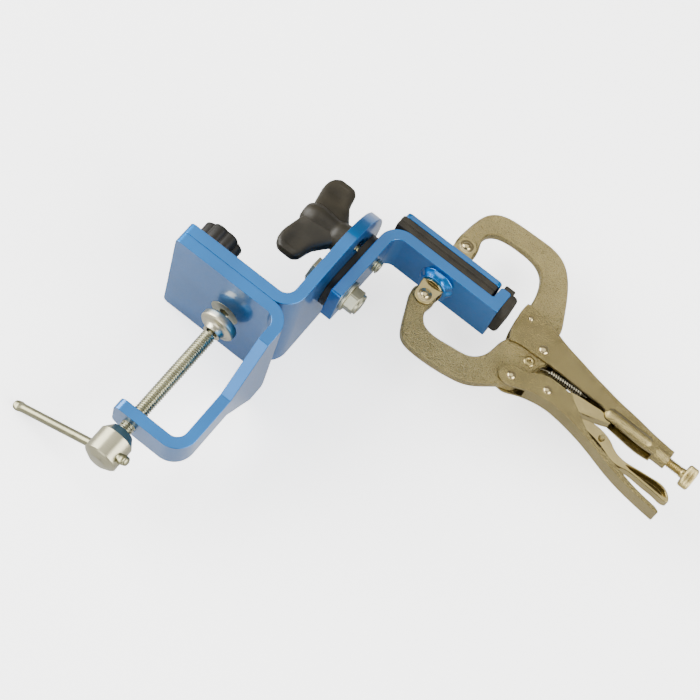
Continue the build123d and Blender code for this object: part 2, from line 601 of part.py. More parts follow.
# ---- pliers: pressed handles ----------------------------------------------
def channel(face, inner):
    """Pressed channel: the outline minus the space between its walls."""
    return slab(face, -WALL_O, WALL_O) - slab(inner, -WALL_I, WALL_I)


web_top = [(176.8, 57.8), (185.0, 55.4), (192.6, 53.8), (200.2, 52.1), (207.7, 50.6), (215.1, 49.3),
           (222.3, 48.1), (229.2, 47.3), (236.1, 46.5), (243.3, 45.4), (250.5, 44.6), (TUBE_X1, 43.9)]
up_face = outline(
    [(152.8, 61.9), (156.2, 62.2)],
    [(156.2, 62.2), (167.0, 60.2), (176.8, 57.8)],
    web_top,
    [(TUBE_X1, 43.9), (TUBE_X1, ADJ_Y)],
    [(TUBE_X1, ADJ_Y), (TUBE_X0, ADJ_Y)],
    [(TUBE_X0, ADJ_Y), (TUBE_X0, 35.2)],
    [(TUBE_X0, 35.2), (247.0, 34.4), (236.8, 34.6), (229.8, 35.3), (224.5, 36.0), (217.8, 38.9),
     (207.9, 39.5), (194.7, 39.7), (181.8, 39.5), (169.2, 38.9), (162.0, 38.4), (157.4, 36.6)],
    [(157.4, 36.6), (155.0, 41.0), (153.2, 49.0), (152.4, 56.0), (152.8, 61.9)])
up_inner = outline(
    [(140.0, 20.0), (140.0, 75.0)],
    [(140.0, 75.0), (175.2, 75.0)],
    [(175.2, 75.0), (177.0, 56.2)],
    [(x, y - SHEET_T) for x, y in [(177.0, 57.6)] + web_top[1:-1]] + [(TUBE_X0 - 0.8, 42.8)],
    [(TUBE_X0 - 0.8, 42.8), (TUBE_X0 - 0.8, 20.0)],
    [(TUBE_X0 - 0.8, 20.0), (140.0, 20.0)])
walls = slab(up_face, -WALL_O, WALL_O)
for s in (-1, 1):
    rib_z = s * (WALL_O + RIB_PROUD - RIB_R)
    walls += rod((RIB_X0, RIB_Y, rib_z), (1, 0, 0), RIB_R, RIB_X1 - RIB_X0)
    walls += Pos(RIB_X0, RIB_Y, rib_z) * Sphere(RIB_R)
    walls += Pos(RIB_X1, RIB_Y, rib_z) * Sphere(RIB_R)
handle = walls - slab(up_inner, -WALL_I, WALL_I)
handle += rod((TUBE_X0, ADJ_Y, 0), (1, 0, 0), TUBE_D / 2, TUBE_X1 - TUBE_X0)
handle -= rod((TUBE_X0 - 4, ADJ_Y, 0), (1, 0, 0), ADJ_D / 2 + RUN_GAP, 30)
for p in (P_JAW, P_SPOT):
    rr = RIVET_D / 2 + RUN_GAP if p is P_JAW else 1.5
    handle -= disc(p, rr, -9, 9)
tilted("upper_handle", handle)
tilted("jaw_pivot_rivet", rivet_pin(P_JAW, WALL_O + 0.05, 8.6, 1.1))
tilted("jaw_spot_rivet", rivet_pin(P_SPOT, WALL_O + 0.02, 4.6, 0.8, 2.96))

low_face = outline(
    [(P_LOW[0] - 6.2, P_LOW[1] + 0.6), (P_LOW[0] - 3.6, P_LOW[1] + 4.8), (172.2, 26.4), (177.1, 28.9),
     (183.0, 32.4), (188.0, 33.6), (194.0, 33.6), (200.2, 33.4)],
    [(200.2, 33.4), (206.0, 29.0), (211.6, 25.4), (217.0, 21.6), (223.0, 19.2), (232.0, 17.3),
     (241.0, 15.0), (247.0, 13.5), (254.0, 11.9), (260.0, 11.0), (266.6, 10.2)],
    [(266.6, 10.2), (269.6, 9.4), (270.9, 8.2), (270.2, 7.5)],
    [(270.2, 7.5), (264.0, 8.0), (254.4, 9.0), (244.1, 10.7), (236.0, 12.7), (227.4, 15.4),
     (215.1, 18.7), (203.9, 20.6), (193.7, 21.2), (184.5, 19.6), (176.6, 16.6), (169.8, 13.8),
     (165.6, 14.6), (P_LOW[0] - 6.2, P_LOW[1] + 0.6)])
low_inner = outline(
    [(140.0, 45.0), (280.0, 45.0)],
    [(280.0, 45.0), (280.0, 9.2)],
    [(280.0, 9.2), (271.9, 9.2)],
    [(271.9, 9.2), (264.0, 9.4), (254.4, 10.4), (244.1, 12.1), (236.0, 14.1), (227.4, 16.8),
     (215.1, 20.1), (203.9, 22.0), (193.7, 22.7), (184.5, 21.2), (180.0, 19.6)],
    [(180.0, 19.6), (180.0, 5.0)],
    [(180.0, 5.0), (140.0, 5.0)],
    [(140.0, 5.0), (140.0, 45.0)])
lower_h = channel(low_face, low_inner)
for p in (P_LOW, P_LINK):
    lower_h -= disc(p, RIVET_D / 2 + RUN_GAP, -9, 9)
lower_h -= disc(P_LEVER, 1.5, -9, 9)
tilted("lower_handle", lower_h)
tilted("lower_pivot_rivet", rivet_pin(P_LOW, WALL_O + 0.05, 7.6, 1.1))
tilted("link_rivet", rivet_pin(P_LINK, WALL_O + 0.05, 7.6, 1.1))

# toggle link between the handles, its toe short of the adjusting screw
link_t = JAW_T - 0.4
link_face = outline(
    [(P_LINK[0] - 4.2, P_LINK[1] + 0.4), (P_LINK[0] - 2.9, P_LINK[1] + 4.0), (195.0, 33.2),
     (200.0, 35.4), (207.1, 36.8), (216.4, 37.8)],
    [(216.4, 37.8), (P_TOE[0] - 1.8, P_TOE[1] + 2.2), (P_TOE[0] + 1.4, P_TOE[1] + 2.1),
     (P_TOE[0] + 2.4, P_TOE[1] - 0.2), (P_TOE[0] + 0.8, P_TOE[1] - 2.3)],
    [(P_TOE[0] + 0.8, P_TOE[1] - 2.3), (218.0, 31.8), (211.0, 29.4), (203.0, 26.8), (195.0, 24.6)],
    [(195.0, 24.6), (P_LINK[0] + 1.6, P_LINK[1] - 3.3), (P_LINK[0] - 2.4, P_LINK[1] - 3.0),
     (P_LINK[0] - 4.2, P_LINK[1] + 0.4)])
link = slab(link_face, -link_t / 2, link_t / 2) - disc(P_LINK, RIVET_D / 2 + RUN_GAP, -9, 9)
tilted("toggle_link", link)

# release lever, pinned between the lower handle's walls
lever_face = outline(
    [(209.0, 24.6), (213.0, 27.4), (219.0, 28.8), (225.3, 28.3), (230.5, 26.4), (234.5, 23.9),
     (238.5, 22.4)],
    [(238.5, 22.4), (243.5, 22.1), (250.0, 23.0), (259.0, 24.2), (264.0, 24.6), (268.0, 23.4),
     (271.0, 20.8), (272.2, 18.4)],
    [(272.2, 18.4), (270.0, 17.2), (265.0, 17.6), (258.5, 17.9), (252.0, 18.3), (246.0, 18.2),
     (240.0, 17.0), (233.5, 18.2), (227.3, 20.6), (219.5, 22.3), (213.0, 23.2), (209.0, 24.6)])
lev_t = JAW_T - 0.6
lever = slab(lever_face, -lev_t / 2, lev_t / 2)
lever -= slab(outline(
    [(243.5, 20.6), (249.0, 21.8), (258.0, 23.1), (264.2, 23.4), (267.6, 22.2), (270.0, 20.0)],
    [(270.0, 20.0), (268.0, 19.3), (262.0, 19.3), (254.0, 19.7), (247.0, 19.9)],
    [(247.0, 19.9), (243.5, 20.6)]), -1.2, 9)
lever -= disc(P_LEVER, 1.5 + RUN_GAP, -9, 9)
tilted("release_lever", lever)
tilted("lever_pin", disc(P_LEVER, 1.5 - RUN_GAP, -WALL_O, WALL_O))

# adjusting screw: shank travels, knurled head turns on it
shank = rod((ADJ_TIP, ADJ_Y, 0), (1, 0, 0), ADJ_D / 2, KNURL_X + 1.6 - ADJ_TIP)
shank = chamfer(shank.edges().filter_by(GeomType.CIRCLE).sort_by(Axis.X)[0], 0.8)
tilted("adjusting_screw", shank)
knurl = rod((KNURL_X, ADJ_Y, 0), (1, 0, 0), KNURL_D / 2, KNURL_T)
knurl = chamfer(knurl.edges().filter_by(GeomType.CIRCLE), 0.9)
knurl -= rod((KNURL_X - 1, ADJ_Y, 0), (1, 0, 0), ADJ_D / 2 + RUN_GAP, 2.6)
tilted("knurled_head", knurl)

# return spring, as its outer envelope, hooked through the lower jaw's eyelet
coil_u = unit(spr_a, spr_b)
coil_len = hypot(spr_b[0] - spr_a[0], spr_b[1] - spr_a[1])
spring = rod((spr_a[0], spr_a[1], 0), (coil_u[0], coil_u[1], 0), SPRING_D / 2, coil_len)
hook_len = hypot(spr_a[0] - EYELET[0], spr_a[1] - EYELET[1])
spring += rod((EYELET[0], EYELET[1], 0), (spr_u[0], spr_u[1], 0), WIRE_D / 2, hook_len + 1.0)
spring += rod((spr_b[0] - 1.0, spr_b[1], 0), (1, 0, 0), WIRE_D / 2, 4.0)
tilted("return_spring", spring)

# ---- one shared frame: stand on Z = 0, centred in X and Y ------------------
boxes = [s.bounding_box() for s in parts.values()]
low = [min(getattr(b.min, k) for b in boxes) for k in "XYZ"]
high = [max(getattr(b.max, k) for b in boxes) for k in "XYZ"]
SHIFT = (-(low[0] + high[0]) / 2, -(low[1] + high[1]) / 2, -low[2])

if __name__ == "__main__":
    os.makedirs("parts", exist_ok=True)
    for name, shape in parts.items():
        moved = Pos(*SHIFT) * shape
        moved.label = name
        export_step(moved, os.path.join("parts", name + ".step"))
    print("nodes", len(parts), "shift", [round(v, 4) for v in SHIFT])
    print("size", [round(high[i] - low[i], 2) for i in range(3)])
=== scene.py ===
"""Looks for a bench-mount holding clamp closed by locking C pliers.

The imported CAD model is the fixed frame. Flat bars, forgings and pressed handles
are CAD shapes with eased edges; threads, knobs, knurling, coils, rivets and
weld beads are surfaces worked out on grids of two parameters.
"""

import json
import math

import bmesh
import bpy
import numpy as np
from bpy.props import FloatProperty, FloatVectorProperty, IntProperty, PointerProperty
from mathutils import Matrix, Vector


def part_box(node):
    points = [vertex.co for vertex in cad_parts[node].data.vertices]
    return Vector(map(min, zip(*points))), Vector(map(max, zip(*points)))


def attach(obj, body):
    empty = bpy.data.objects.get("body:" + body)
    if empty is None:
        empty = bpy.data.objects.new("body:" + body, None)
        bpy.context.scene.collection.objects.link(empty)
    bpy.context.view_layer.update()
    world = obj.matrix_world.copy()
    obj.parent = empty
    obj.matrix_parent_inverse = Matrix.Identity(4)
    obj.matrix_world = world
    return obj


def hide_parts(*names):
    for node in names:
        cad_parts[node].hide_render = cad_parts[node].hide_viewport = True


bl_info = {
    "name": "Bench holding clamp",
    "version": (1, 0, 0),
    "blender": (4, 5, 0),
    "location": "3D Viewport > Sidebar > Clamp",
    "description": "Finishes and fine shapes for a bench-mount holding clamp",
    "category": "Object",
}

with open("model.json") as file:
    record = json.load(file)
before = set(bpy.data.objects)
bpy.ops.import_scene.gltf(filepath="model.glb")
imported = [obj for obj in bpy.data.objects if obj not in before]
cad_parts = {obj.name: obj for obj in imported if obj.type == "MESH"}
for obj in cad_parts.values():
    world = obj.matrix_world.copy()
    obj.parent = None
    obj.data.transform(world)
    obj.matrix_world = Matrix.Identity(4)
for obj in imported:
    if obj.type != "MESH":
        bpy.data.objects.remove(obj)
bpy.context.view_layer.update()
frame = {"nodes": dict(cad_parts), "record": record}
REC = frame["record"]
NODES = frame["nodes"]
JOINTS = {j["name"]: j for j in REC["behaviour"]["joints"]}
BODY_OF = {n: b for b, ns in REC["behaviour"]["bodies"].items() for n in ns}
SLOT_OF = {s["node"]: s["material_slot"] for s in REC["subparts"]}

# Corner of the turning bracket: X and Z of its bar's ends, Y of the contact plane.
CORNER = np.array(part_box("turning_bracket")[0])
UP = np.array(JOINTS["lower_jaw_pivot"]["axis"], float)        # across the pliers
ALONG = np.array([0.0, UP[2], -UP[1]])                           # away from the tilt axis
TILT_AT = np.array(JOINTS["arm_tilt"]["pos_m"], float)
MM = 0.001
DISC_T = 1.0                # painted disc under each swivel foot, mm
FLOOR_GLOW = 1.6            # light the floor adds of itself to the lens alone
FLOOR_SEEN_BY_METAL = 0.42  # share of its brightness that the object sees
FLOOR_HALF = 6.0            # half the floor's side, m
WORLD_STRENGTH = 0.38       # soft fill from all round
SENSOR = 36.0               # camera sensor side, mm
FRAME_SIDE = 700.0          # side of the square frame
FOCAL = 2078.3              # focal length, in the units of FRAME_SIDE


# ---- places ----------------------------------------------------------------
def centre(node):
    """Middle of a CAD node's box."""
    lo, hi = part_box(node)
    return (np.array(lo) + np.array(hi)) / 2


def arm_frame(x, b, z=0.0):
    """Point in the tilting arm's own plane: X along the tilt axis, b away from it, z across."""
    return np.array([CORNER[0] + x * MM, TILT_AT[1], TILT_AT[2]]) + b * MM * ALONG + z * MM * UP


def axes_for(direction, hint=(0.0, 0.0, 1.0)):
    """Two unit vectors square to a direction, right-handed with it."""
    d = np.array(direction, float)
    d /= np.linalg.norm(d)
    h = np.array(hint, float)
    if abs(h @ d) > 0.95:
        h = np.array([1.0, 0.0, 0.0])
    u = np.cross(h, d)
    u /= np.linalg.norm(u)
    return u, np.cross(d, u), d


# ---- meshes ----------------------------------------------------------------
def mesh_piece(name, verts, faces, smooth=True):
    """Mesh object from whole arrays of points and faces."""
    me = bpy.data.meshes.new(name)
    me.from_pydata(np.asarray(verts, float).reshape(-1, 3).tolist(), [], faces)
    me.update()
    me.polygons.foreach_set("use_smooth", np.full(len(me.polygons), smooth))
    obj = bpy.data.objects.new(name, me)
    bpy.context.scene.collection.objects.link(obj)
    return obj


def grid_faces(rows, cols, wrap=True):
    """Quads of a grid whose columns close on themselves when wrap is set."""
    i = np.arange(rows - 1)[:, None]
    j = np.arange(cols if wrap else cols - 1)[None, :]
    k = (j + 1) % cols
    quads = np.stack([i * cols + j, i * cols + k, (i + 1) * cols + k, (i + 1) * cols + j], -1)
    return quads.reshape(-1, 4)


def tube_surface(name, points, caps=True):
    """Closed skin over a rows x cols x 3 grid; each end row is closed by a fan to its mean."""
    rows, cols, _ = points.shape
    verts = points.reshape(-1, 3)
    faces = grid_faces(rows, cols).tolist()
    if caps:
        verts = np.vstack([verts, points[0].mean(0), points[-1].mean(0)])
        a, b = rows * cols, rows * cols + 1
        last = (rows - 1) * cols
        faces += [[a, (j + 1) % cols, j] for j in range(cols)]
        faces += [[b, last + j, last + (j + 1) % cols] for j in range(cols)]
    obj = mesh_piece(name, verts, faces)
    outward(obj)
    return obj


def outward(obj):
    """Recalculate normals so that every face points out."""
    bm = bmesh.new()
    bm.from_mesh(obj.data)
    bmesh.ops.recalc_face_normals(bm, faces=bm.faces)
    bm.to_mesh(obj.data)
    bm.free()


def join(name, objs):
    """One object from several, keeping their faces."""
    bm = bmesh.new()
    for o in objs:
        bm.from_mesh(o.data)
        bpy.data.objects.remove(o)
    me = bpy.data.meshes.new(name)
    bm.to_mesh(me)
    bm.free()
    obj = bpy.data.objects.new(name, me)
    bpy.context.scene.collection.objects.link(obj)
    return obj


def sharp_by_angle(obj, degrees=35.0):
    """Mark edges sharper than an angle, so smooth shading stops there."""
    bm = bmesh.new()
    bm.from_mesh(obj.data)
    limit = math.radians(degrees)
    for e in bm.edges:
        e.smooth = not (len(e.link_faces) == 2 and e.calc_face_angle(0.0) > limit)
    bm.to_mesh(obj.data)
    bm.free()


def revolve(name, profile, origin, direction, steps=96):
    """Turned surface: radius r at height h, carried round an axis. profile is [(h, r), ...] in mm."""
    h, r = np.array(profile, float).T
    a = np.linspace(0, 2 * np.pi, steps, endpoint=False)
    u, v, d = axes_for(direction)
    ring = np.cos(a)[:, None] * u + np.sin(a)[:, None] * v
    pts = np.array(origin) + MM * (h[:, None, None] * d + r[:, None, None] * ring[None])
    obj = tube_surface(name, pts)
    sharp_by_angle(obj, 30.0)
    return obj


def soft_profile(points, radius, steps=4):
    """Round the corners of an (h, r) profile: each corner becomes a short quadratic arc."""
    pts = [np.array(p, float) for p in points]
    out = [pts[0]]
    for p, q, s in zip(pts[:-2], pts[1:-1], pts[2:]):
        a, b = q - p, s - q
        la, lb = np.linalg.norm(a), np.linalg.norm(b)
        k = min(radius, 0.45 * la, 0.45 * lb)
        p0, p1 = q - a / la * k, q + b / lb * k
        t = np.linspace(0, 1, steps + 1)[:, None]
        out += list((1 - t) ** 2 * p0 + 2 * t * (1 - t) * q + t ** 2 * p1)
    out.append(pts[-1])
    return np.array(out)


def threaded_rod(name, origin, direction, length, radius, pitch, start, stop, cols=48, per_turn=20):
    """Rod with a helical thread between two heights.

    At angle a and height h the radius is the major radius less a rounded
    60-degree tooth whose phase is h / pitch - a / 2 pi; the tooth depth fades
    to nothing over one turn at each end of the threaded length.
    """
    rows = max(8, int(length / pitch * per_turn))
    h = np.linspace(0, length, rows)[:, None]
    a = np.linspace(0, 2 * np.pi, cols, endpoint=False)[None]
    phase = (h / pitch - a / (2 * np.pi)) % 1.0
    tooth = np.clip(np.abs(phase - 0.5) * 2.0 * 1.3 - 0.15, 0, 1)
    fade = np.clip((h - start) / pitch, 0, 1) * np.clip((stop - h) / pitch, 0, 1)
    ease = np.minimum(np.minimum(h, length - h), 0.7) - 0.7
    r = radius - 0.58 * pitch * tooth * fade + ease * 0.8
    u, v, d = axes_for(direction)
    ring = np.cos(a)[..., None] * u + np.sin(a)[..., None] * v
    pts = np.array(origin) + MM * (h[..., None] * d + r[..., None] * ring)
    obj = tube_surface(name, pts)
    return obj


def swept_round(name, line, radius, sides=14):
    """Round wire along a polyline of points in metres: a ring of constant radius square to the path."""
    p = np.asarray(line, float)
    t = np.gradient(p, axis=0)
    t /= np.linalg.norm(t, axis=1)[:, None]
    n = np.cross(t, [0.13, 0.31, 0.94])
    n /= np.linalg.norm(n, axis=1)[:, None]
    b = np.cross(t, n)
    a = np.linspace(0, 2 * np.pi, sides, endpoint=False)
    pts = p[:, None] + radius * MM * (np.cos(a)[None, :, None] * n[:, None]
                                      + np.sin(a)[None, :, None] * b[:, None])
    return tube_surface(name, pts)


def eased_copy(node, width, segments=3, angle=30.0, bend=None):
    """The CAD solid with merged triangles and every sharp edge rounded to a small radius.

    bend is (radius in mm, direction): on a pressed channel, an edge between an outer
    wall and a face that looks along the direction is a fold and takes that radius,
    and the rim of anything proud of the wall takes three quarters of it.
    """
    bm = bmesh.new()
    bm.from_mesh(NODES[node].data)
    bmesh.ops.remove_doubles(bm, verts=bm.verts, dist=2e-6)
    bmesh.ops.dissolve_limit(bm, angle_limit=math.radians(0.4), verts=bm.verts, edges=bm.edges)
    if bend:
        bm.normal_update()
        up, side = Vector(UP), Vector(bend[1])
        flats = [(f.calc_center_median() @ up, f.calc_area()) for f in bm.faces if abs(f.normal @ up) > 0.99]
        height, area = np.array(flats).T
        middle = (height.min() + height.max()) / 2
        reach = np.round(np.abs(height - middle) / MM, 1)
        wall = max(set(reach.tolist()), key=lambda k: (area[reach == k].sum() > 0.25 * area.sum(), k))
        weight = bm.edges.layers.float.new("bevel_weight_edge")
        for e in bm.edges:
            if len(e.link_faces) != 2 or e.calc_face_angle(0.0) < math.radians(angle):
                continue
            at = abs((e.verts[0].co + e.verts[1].co) @ up / 2 - middle) / MM
            looks = max(f.normal @ side for f in e.link_faces)
            flat = max(abs(f.normal @ up) for f in e.link_faces) > 0.95
            fold = flat and abs(at - wall) < 0.15 and looks > 0.45
            e[weight] = 1.0 if fold else 0.75 if at > wall + 0.3 else width / bend[0]
    me = bpy.data.meshes.new(node + "_eased")
    bm.to_mesh(me)
    bm.free()
    me.polygons.foreach_set("use_smooth", np.full(len(me.polygons), True))
    obj = bpy.data.objects.new(node + "_eased", me)
    bpy.context.scene.collection.objects.link(obj)
    mod = obj.modifiers.new("Eased edges", "BEVEL")
    mod.width = (bend[0] if bend else width) * MM
    mod.segments = segments
    mod.limit_method = "WEIGHT" if bend else "ANGLE"
    mod.angle_limit = math.radians(angle)
    mod.use_clamp_overlap = True
    mod.miter_outer = "MITER_ARC"
    lean = obj.modifiers.new("Flat faces stay flat", "WEIGHTED_NORMAL")
    lean.mode = "FACE_AREA"
    lean.weight = 100
    return obj


def settle(obj, node_or_body, material, slot=None, stands_for=()):
    """Give a piece its material and body, and hide the CAD nodes it stands for."""
    obj.data.materials.clear()
    obj.data.materials.append(material)
    body = BODY_OF.get(node_or_body, node_or_body)
    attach(obj, body)
    if stands_for:
        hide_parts(*stands_for)
        slot = slot or SLOT_OF[stands_for[0]]
    return obj


# ---- materials --------------------------------------------------------------
class Nodes:
    """Small helper around one material's node tree."""

    def __init__(self, name):
        self.mat = bpy.data.materials.get(name) or bpy.data.materials.new(name)
        self.mat.use_nodes = True
        self.tree = self.mat.node_tree
        self.tree.nodes.clear()
        self.out = self.add("ShaderNodeOutputMaterial")
        self.bsdf = self.add("ShaderNodeBsdfPrincipled")
        self.link(self.bsdf, "BSDF", self.out, "Surface")
        self.coord = self.add("ShaderNodeTexCoord")

    def add(self, kind, **values):
        node = self.tree.nodes.new(kind)
        for key, value in values.items():
            setattr(node, key, value)
        return node

    def link(self, a, out, b, into):
        self.tree.links.new(a.outputs[out], b.inputs[into])

    def put(self, node, **values):
        for key, value in values.items():
            node.inputs[key.replace("_", " ")].default_value = value
        return node

    def place(self, scale=(1, 1, 1), turn=(0, 0, 0)):
        """Object coordinates, turned and stretched, so a pattern follows a direction on the piece."""
        m = self.add("ShaderNodeMapping")
        m.inputs["Scale"].default_value = scale
        m.inputs["Rotation"].default_value = turn
        self.link(self.coord, "Object", m, "Vector")
        return m

    def noise(self, scale, detail=4.0, rough=0.55, where=None):
        n = self.add("ShaderNodeTexNoise")
        self.put(n, Scale=scale, Detail=detail, Roughness=rough)
        if where is None:
            self.link(self.coord, "Object", n, "Vector")
        else:
            self.link(where, "Vector", n, "Vector")
        return n

    def ramp(self, source, out, stops):
        r = self.add("ShaderNodeValToRGB")
        ramp = r.color_ramp
        while len(ramp.elements) < len(stops):
            ramp.elements.new(0.5)
        for e, (pos, colour) in zip(ramp.elements, stops):
            e.position = pos
            e.color = colour if len(colour) == 4 else (*colour, 1.0)
        self.link(source, out, r, "Fac")
        return r

    def span(self, source, out, lo, hi, a=0.0, b=1.0):
        m = self.add("ShaderNodeMapRange")
        m.inputs["From Min"].default_value = a
        m.inputs["From Max"].default_value = b
        m.inputs["To Min"].default_value = lo
        m.inputs["To Max"].default_value = hi
        self.link(source, out, m, "Value")
        return m

    def bump(self, source, out, strength, distance, after=None):
        b = self.add("ShaderNodeBump")
        b.inputs["Strength"].default_value = strength
        b.inputs["Distance"].default_value = distance
        self.link(source, out, b, "Height")
        if after is not None:
            self.link(after, "Normal", b, "Normal")
        return b


def shade(colour, k):
    return tuple(min(1.0, c * k) for c in colour[:3]) + (1.0,)


def blue_paint(colour, name="Blue candy paint"):
    """Candy blue over bright steel: part-metallic base under deep clear coat, with faint grain and peel."""
    n = Nodes(name)
    big = n.noise(38.0, 3.0)
    tint = n.ramp(big, "Fac", [(0.30, shade(colour, 0.90)), (0.70, shade(colour, 1.10))])
    n.link(tint, "Color", n.bsdf, "Base Color")
    fine = n.noise(1100.0, 4.0, 0.65)
    n.link(n.span(fine, "Fac", 0.26, 0.42), "Result", n.bsdf, "Roughness")
    n.put(n.bsdf, Metallic=0.86)
    n.bsdf.inputs["Coat Weight"].default_value = 0.8
    n.bsdf.inputs["Coat Roughness"].default_value = 0.07
    n.bsdf.inputs["Coat IOR"].default_value = 1.5
    peel = n.noise(420.0, 2.0)
    n.link(n.bump(peel, "Fac", 0.08, 0.0002), "Normal", n.bsdf, "Normal")
    return n.mat


def zinc_plate(colour, name="Bright zinc plate", streak=(1, 1, 1)):
    """Zinc plate: metallic, straw-tinted clouds, drawn streaks and small handling marks."""
    n = Nodes(name)
    cloud = n.noise(120.0, 4.0)
    tint = n.ramp(cloud, "Fac", [(0.32, shade(colour, 0.80)), (0.50, colour), (0.72, shade(colour, 1.15))])
    n.link(tint, "Color", n.bsdf, "Base Color")
    drawn = n.noise(700.0, 5.0, where=n.place(streak))
    n.link(n.span(drawn, "Fac", 0.22, 0.42), "Result", n.bsdf, "Roughness")
    n.put(n.bsdf, Metallic=1.0)
    n.link(n.bump(drawn, "Fac", 0.18, 0.00006), "Normal", n.bsdf, "Normal")
    return n.mat


def thread_zinc(colour, name):
    """Rolled thread: bright plate with only cloudy colour, since its crests make the pattern."""
    n = Nodes(name)
    cloud = n.noise(160.0, 3.0)
    tint = n.ramp(cloud, "Fac", [(0.32, shade(colour, 0.86)), (0.72, shade(colour, 1.10))])
    n.link(tint, "Color", n.bsdf, "Base Color")
    n.link(n.span(cloud, "Fac", 0.22, 0.34), "Result", n.bsdf, "Roughness")
    n.put(n.bsdf, Metallic=1.0)
    return n.mat


def turned_aluminium(colour, name="Turned aluminium", axis=1):
    """Turned aluminium: fine rings square to the turning axis, from noise stretched round it."""
    n = Nodes(name)
    scale = [0.04, 0.04, 0.04]
    scale[axis] = 1.0
    rings = n.noise(5200.0, 3.0, where=n.place(tuple(scale)))
    tint = n.ramp(rings, "Fac", [(0.3, shade(colour, 0.86)), (0.7, shade(colour, 1.05))])
    n.link(tint, "Color", n.bsdf, "Base Color")
    n.link(n.span(rings, "Fac", 0.24, 0.40), "Result", n.bsdf, "Roughness")
    n.put(n.bsdf, Metallic=1.0)
    n.link(n.bump(rings, "Fac", 0.30, 0.00005), "Normal", n.bsdf, "Normal")
    return n.mat


def nickel(colour, name, rough, grain=0.00006, size=1500.0):
    """Warm nickel over a grained skin: grain is the skin's depth, size how many grains to the metre."""
    n = Nodes(name)
    cloud = n.noise(55.0, 4.0)
    tint = n.ramp(cloud, "Fac", [(0.30, shade(colour, 0.86)), (0.68, shade(colour, 1.10))])
    n.link(tint, "Color", n.bsdf, "Base Color")
    fine = n.noise(size, 3.0, 0.6)
    n.link(n.span(fine, "Fac", rough - 0.07, rough + 0.10), "Result", n.bsdf, "Roughness")
    n.put(n.bsdf, Metallic=1.0)
    n.link(n.bump(fine, "Fac", 1.0, grain), "Normal", n.bsdf, "Normal")
    return n.mat


def polished(colour, name="Polished rivet"):
    """Polished nickel heads: low roughness with hairline scuffs."""
    n = Nodes(name)
    scuff = n.noise(600.0, 6.0, 0.7)
    n.link(n.span(scuff, "Fac", 0.10, 0.26), "Result", n.bsdf, "Roughness")
    tint = n.ramp(scuff, "Fac", [(0.35, shade(colour, 0.85)), (0.7, colour)])
    n.link(tint, "Color", n.bsdf, "Base Color")
    n.put(n.bsdf, Metallic=1.0)
    return n.mat


def moulded_black(colour, name="Moulded black plastic"):
    """Satin moulding: fine spark-eroded texture and slightly worn, browner high spots."""
    n = Nodes(name)
    wear = n.noise(90.0, 4.0)
    tint = n.ramp(wear, "Fac", [(0.35, colour), (0.75, shade(colour, 1.7))])
    n.link(tint, "Color", n.bsdf, "Base Color")
    skin = n.noise(2600.0, 2.0)
    n.link(n.span(skin, "Fac", 0.36, 0.52), "Result", n.bsdf, "Roughness")
    n.link(n.bump(skin, "Fac", 0.22, 0.00006), "Normal", n.bsdf, "Normal")
    n.bsdf.inputs["Specular IOR Level"].default_value = 0.26
    return n.mat


def sheet_rubber(colour, name="Black sheet rubber"):
    """Rubber sheet: matt, dusty clouds, a fine cloth print and a soft bloom."""
    n = Nodes(name)
    dust = n.noise(160.0, 5.0)
    tint = n.ramp(dust, "Fac", [(0.30, shade(colour, 0.75)), (0.75, shade(colour, 1.6))])
    n.link(tint, "Color", n.bsdf, "Base Color")
    skin = n.noise(1900.0, 3.0)
    n.link(n.span(skin, "Fac", 0.62, 0.82), "Result", n.bsdf, "Roughness")
    n.link(n.bump(skin, "Fac", 0.35, 0.00012), "Normal", n.bsdf, "Normal")
    n.bsdf.inputs["Specular IOR Level"].default_value = 0.22
    return n.mat


def plain_plastic(colour, name, rough=0.4, through=0.0):
    """Moulded nylon: slightly translucent, with faint clouds."""
    n = Nodes(name)
    cloud = n.noise(300.0, 3.0)
    tint = n.ramp(cloud, "Fac", [(0.3, shade(colour, 0.88)), (0.7, shade(colour, 1.06))])
    n.link(tint, "Color", n.bsdf, "Base Color")
    n.put(n.bsdf, Roughness=rough)
    n.bsdf.inputs["Subsurface Weight"].default_value = through
    n.bsdf.inputs["Subsurface Scale"].default_value = 0.002
    return n.mat


def pale_floor(colour, name="Pale studio floor"):
    """Matt pale floor: bright to the lens, and dimmer as a light and in reflections on the object."""
    n = Nodes(name)
    cloud = n.noise(3.0, 2.0)
    tint = n.ramp(cloud, "Fac", [(0.3, shade(colour, 0.992)), (0.7, colour)])
    path = n.add("ShaderNodeLightPath")
    mix = n.add("ShaderNodeMix", data_type="RGBA")
    mix.inputs[6].default_value = shade(colour, FLOOR_SEEN_BY_METAL)
    n.link(path, "Is Camera Ray", mix, "Factor")
    n.tree.links.new(tint.outputs["Color"], mix.inputs[7])
    n.tree.links.new(mix.outputs[2], n.bsdf.inputs["Base Color"])
    n.put(n.bsdf, Roughness=0.9)
    n.bsdf.inputs["Specular IOR Level"].default_value = 0.0
    n.bsdf.inputs["Emission Color"].default_value = (1.0, 1.0, 0.99, 1.0)
    n.link(n.span(path, "Is Camera Ray", 0.0, FLOOR_GLOW), "Result", n.bsdf, "Emission Strength")
    return n.mat


# ---- values a user would change ---------------------------------------------
def colour_prop(label, text, value):
    return FloatVectorProperty(name=label, description=text, subtype="COLOR", size=4, min=0.0,
                               max=1.0, default=(*value, 1.0))


def length_prop(label, text, value):
    return FloatProperty(name=label, description=text, subtype="DISTANCE", unit="LENGTH",
                         default=value, min=0.0, precision=5)


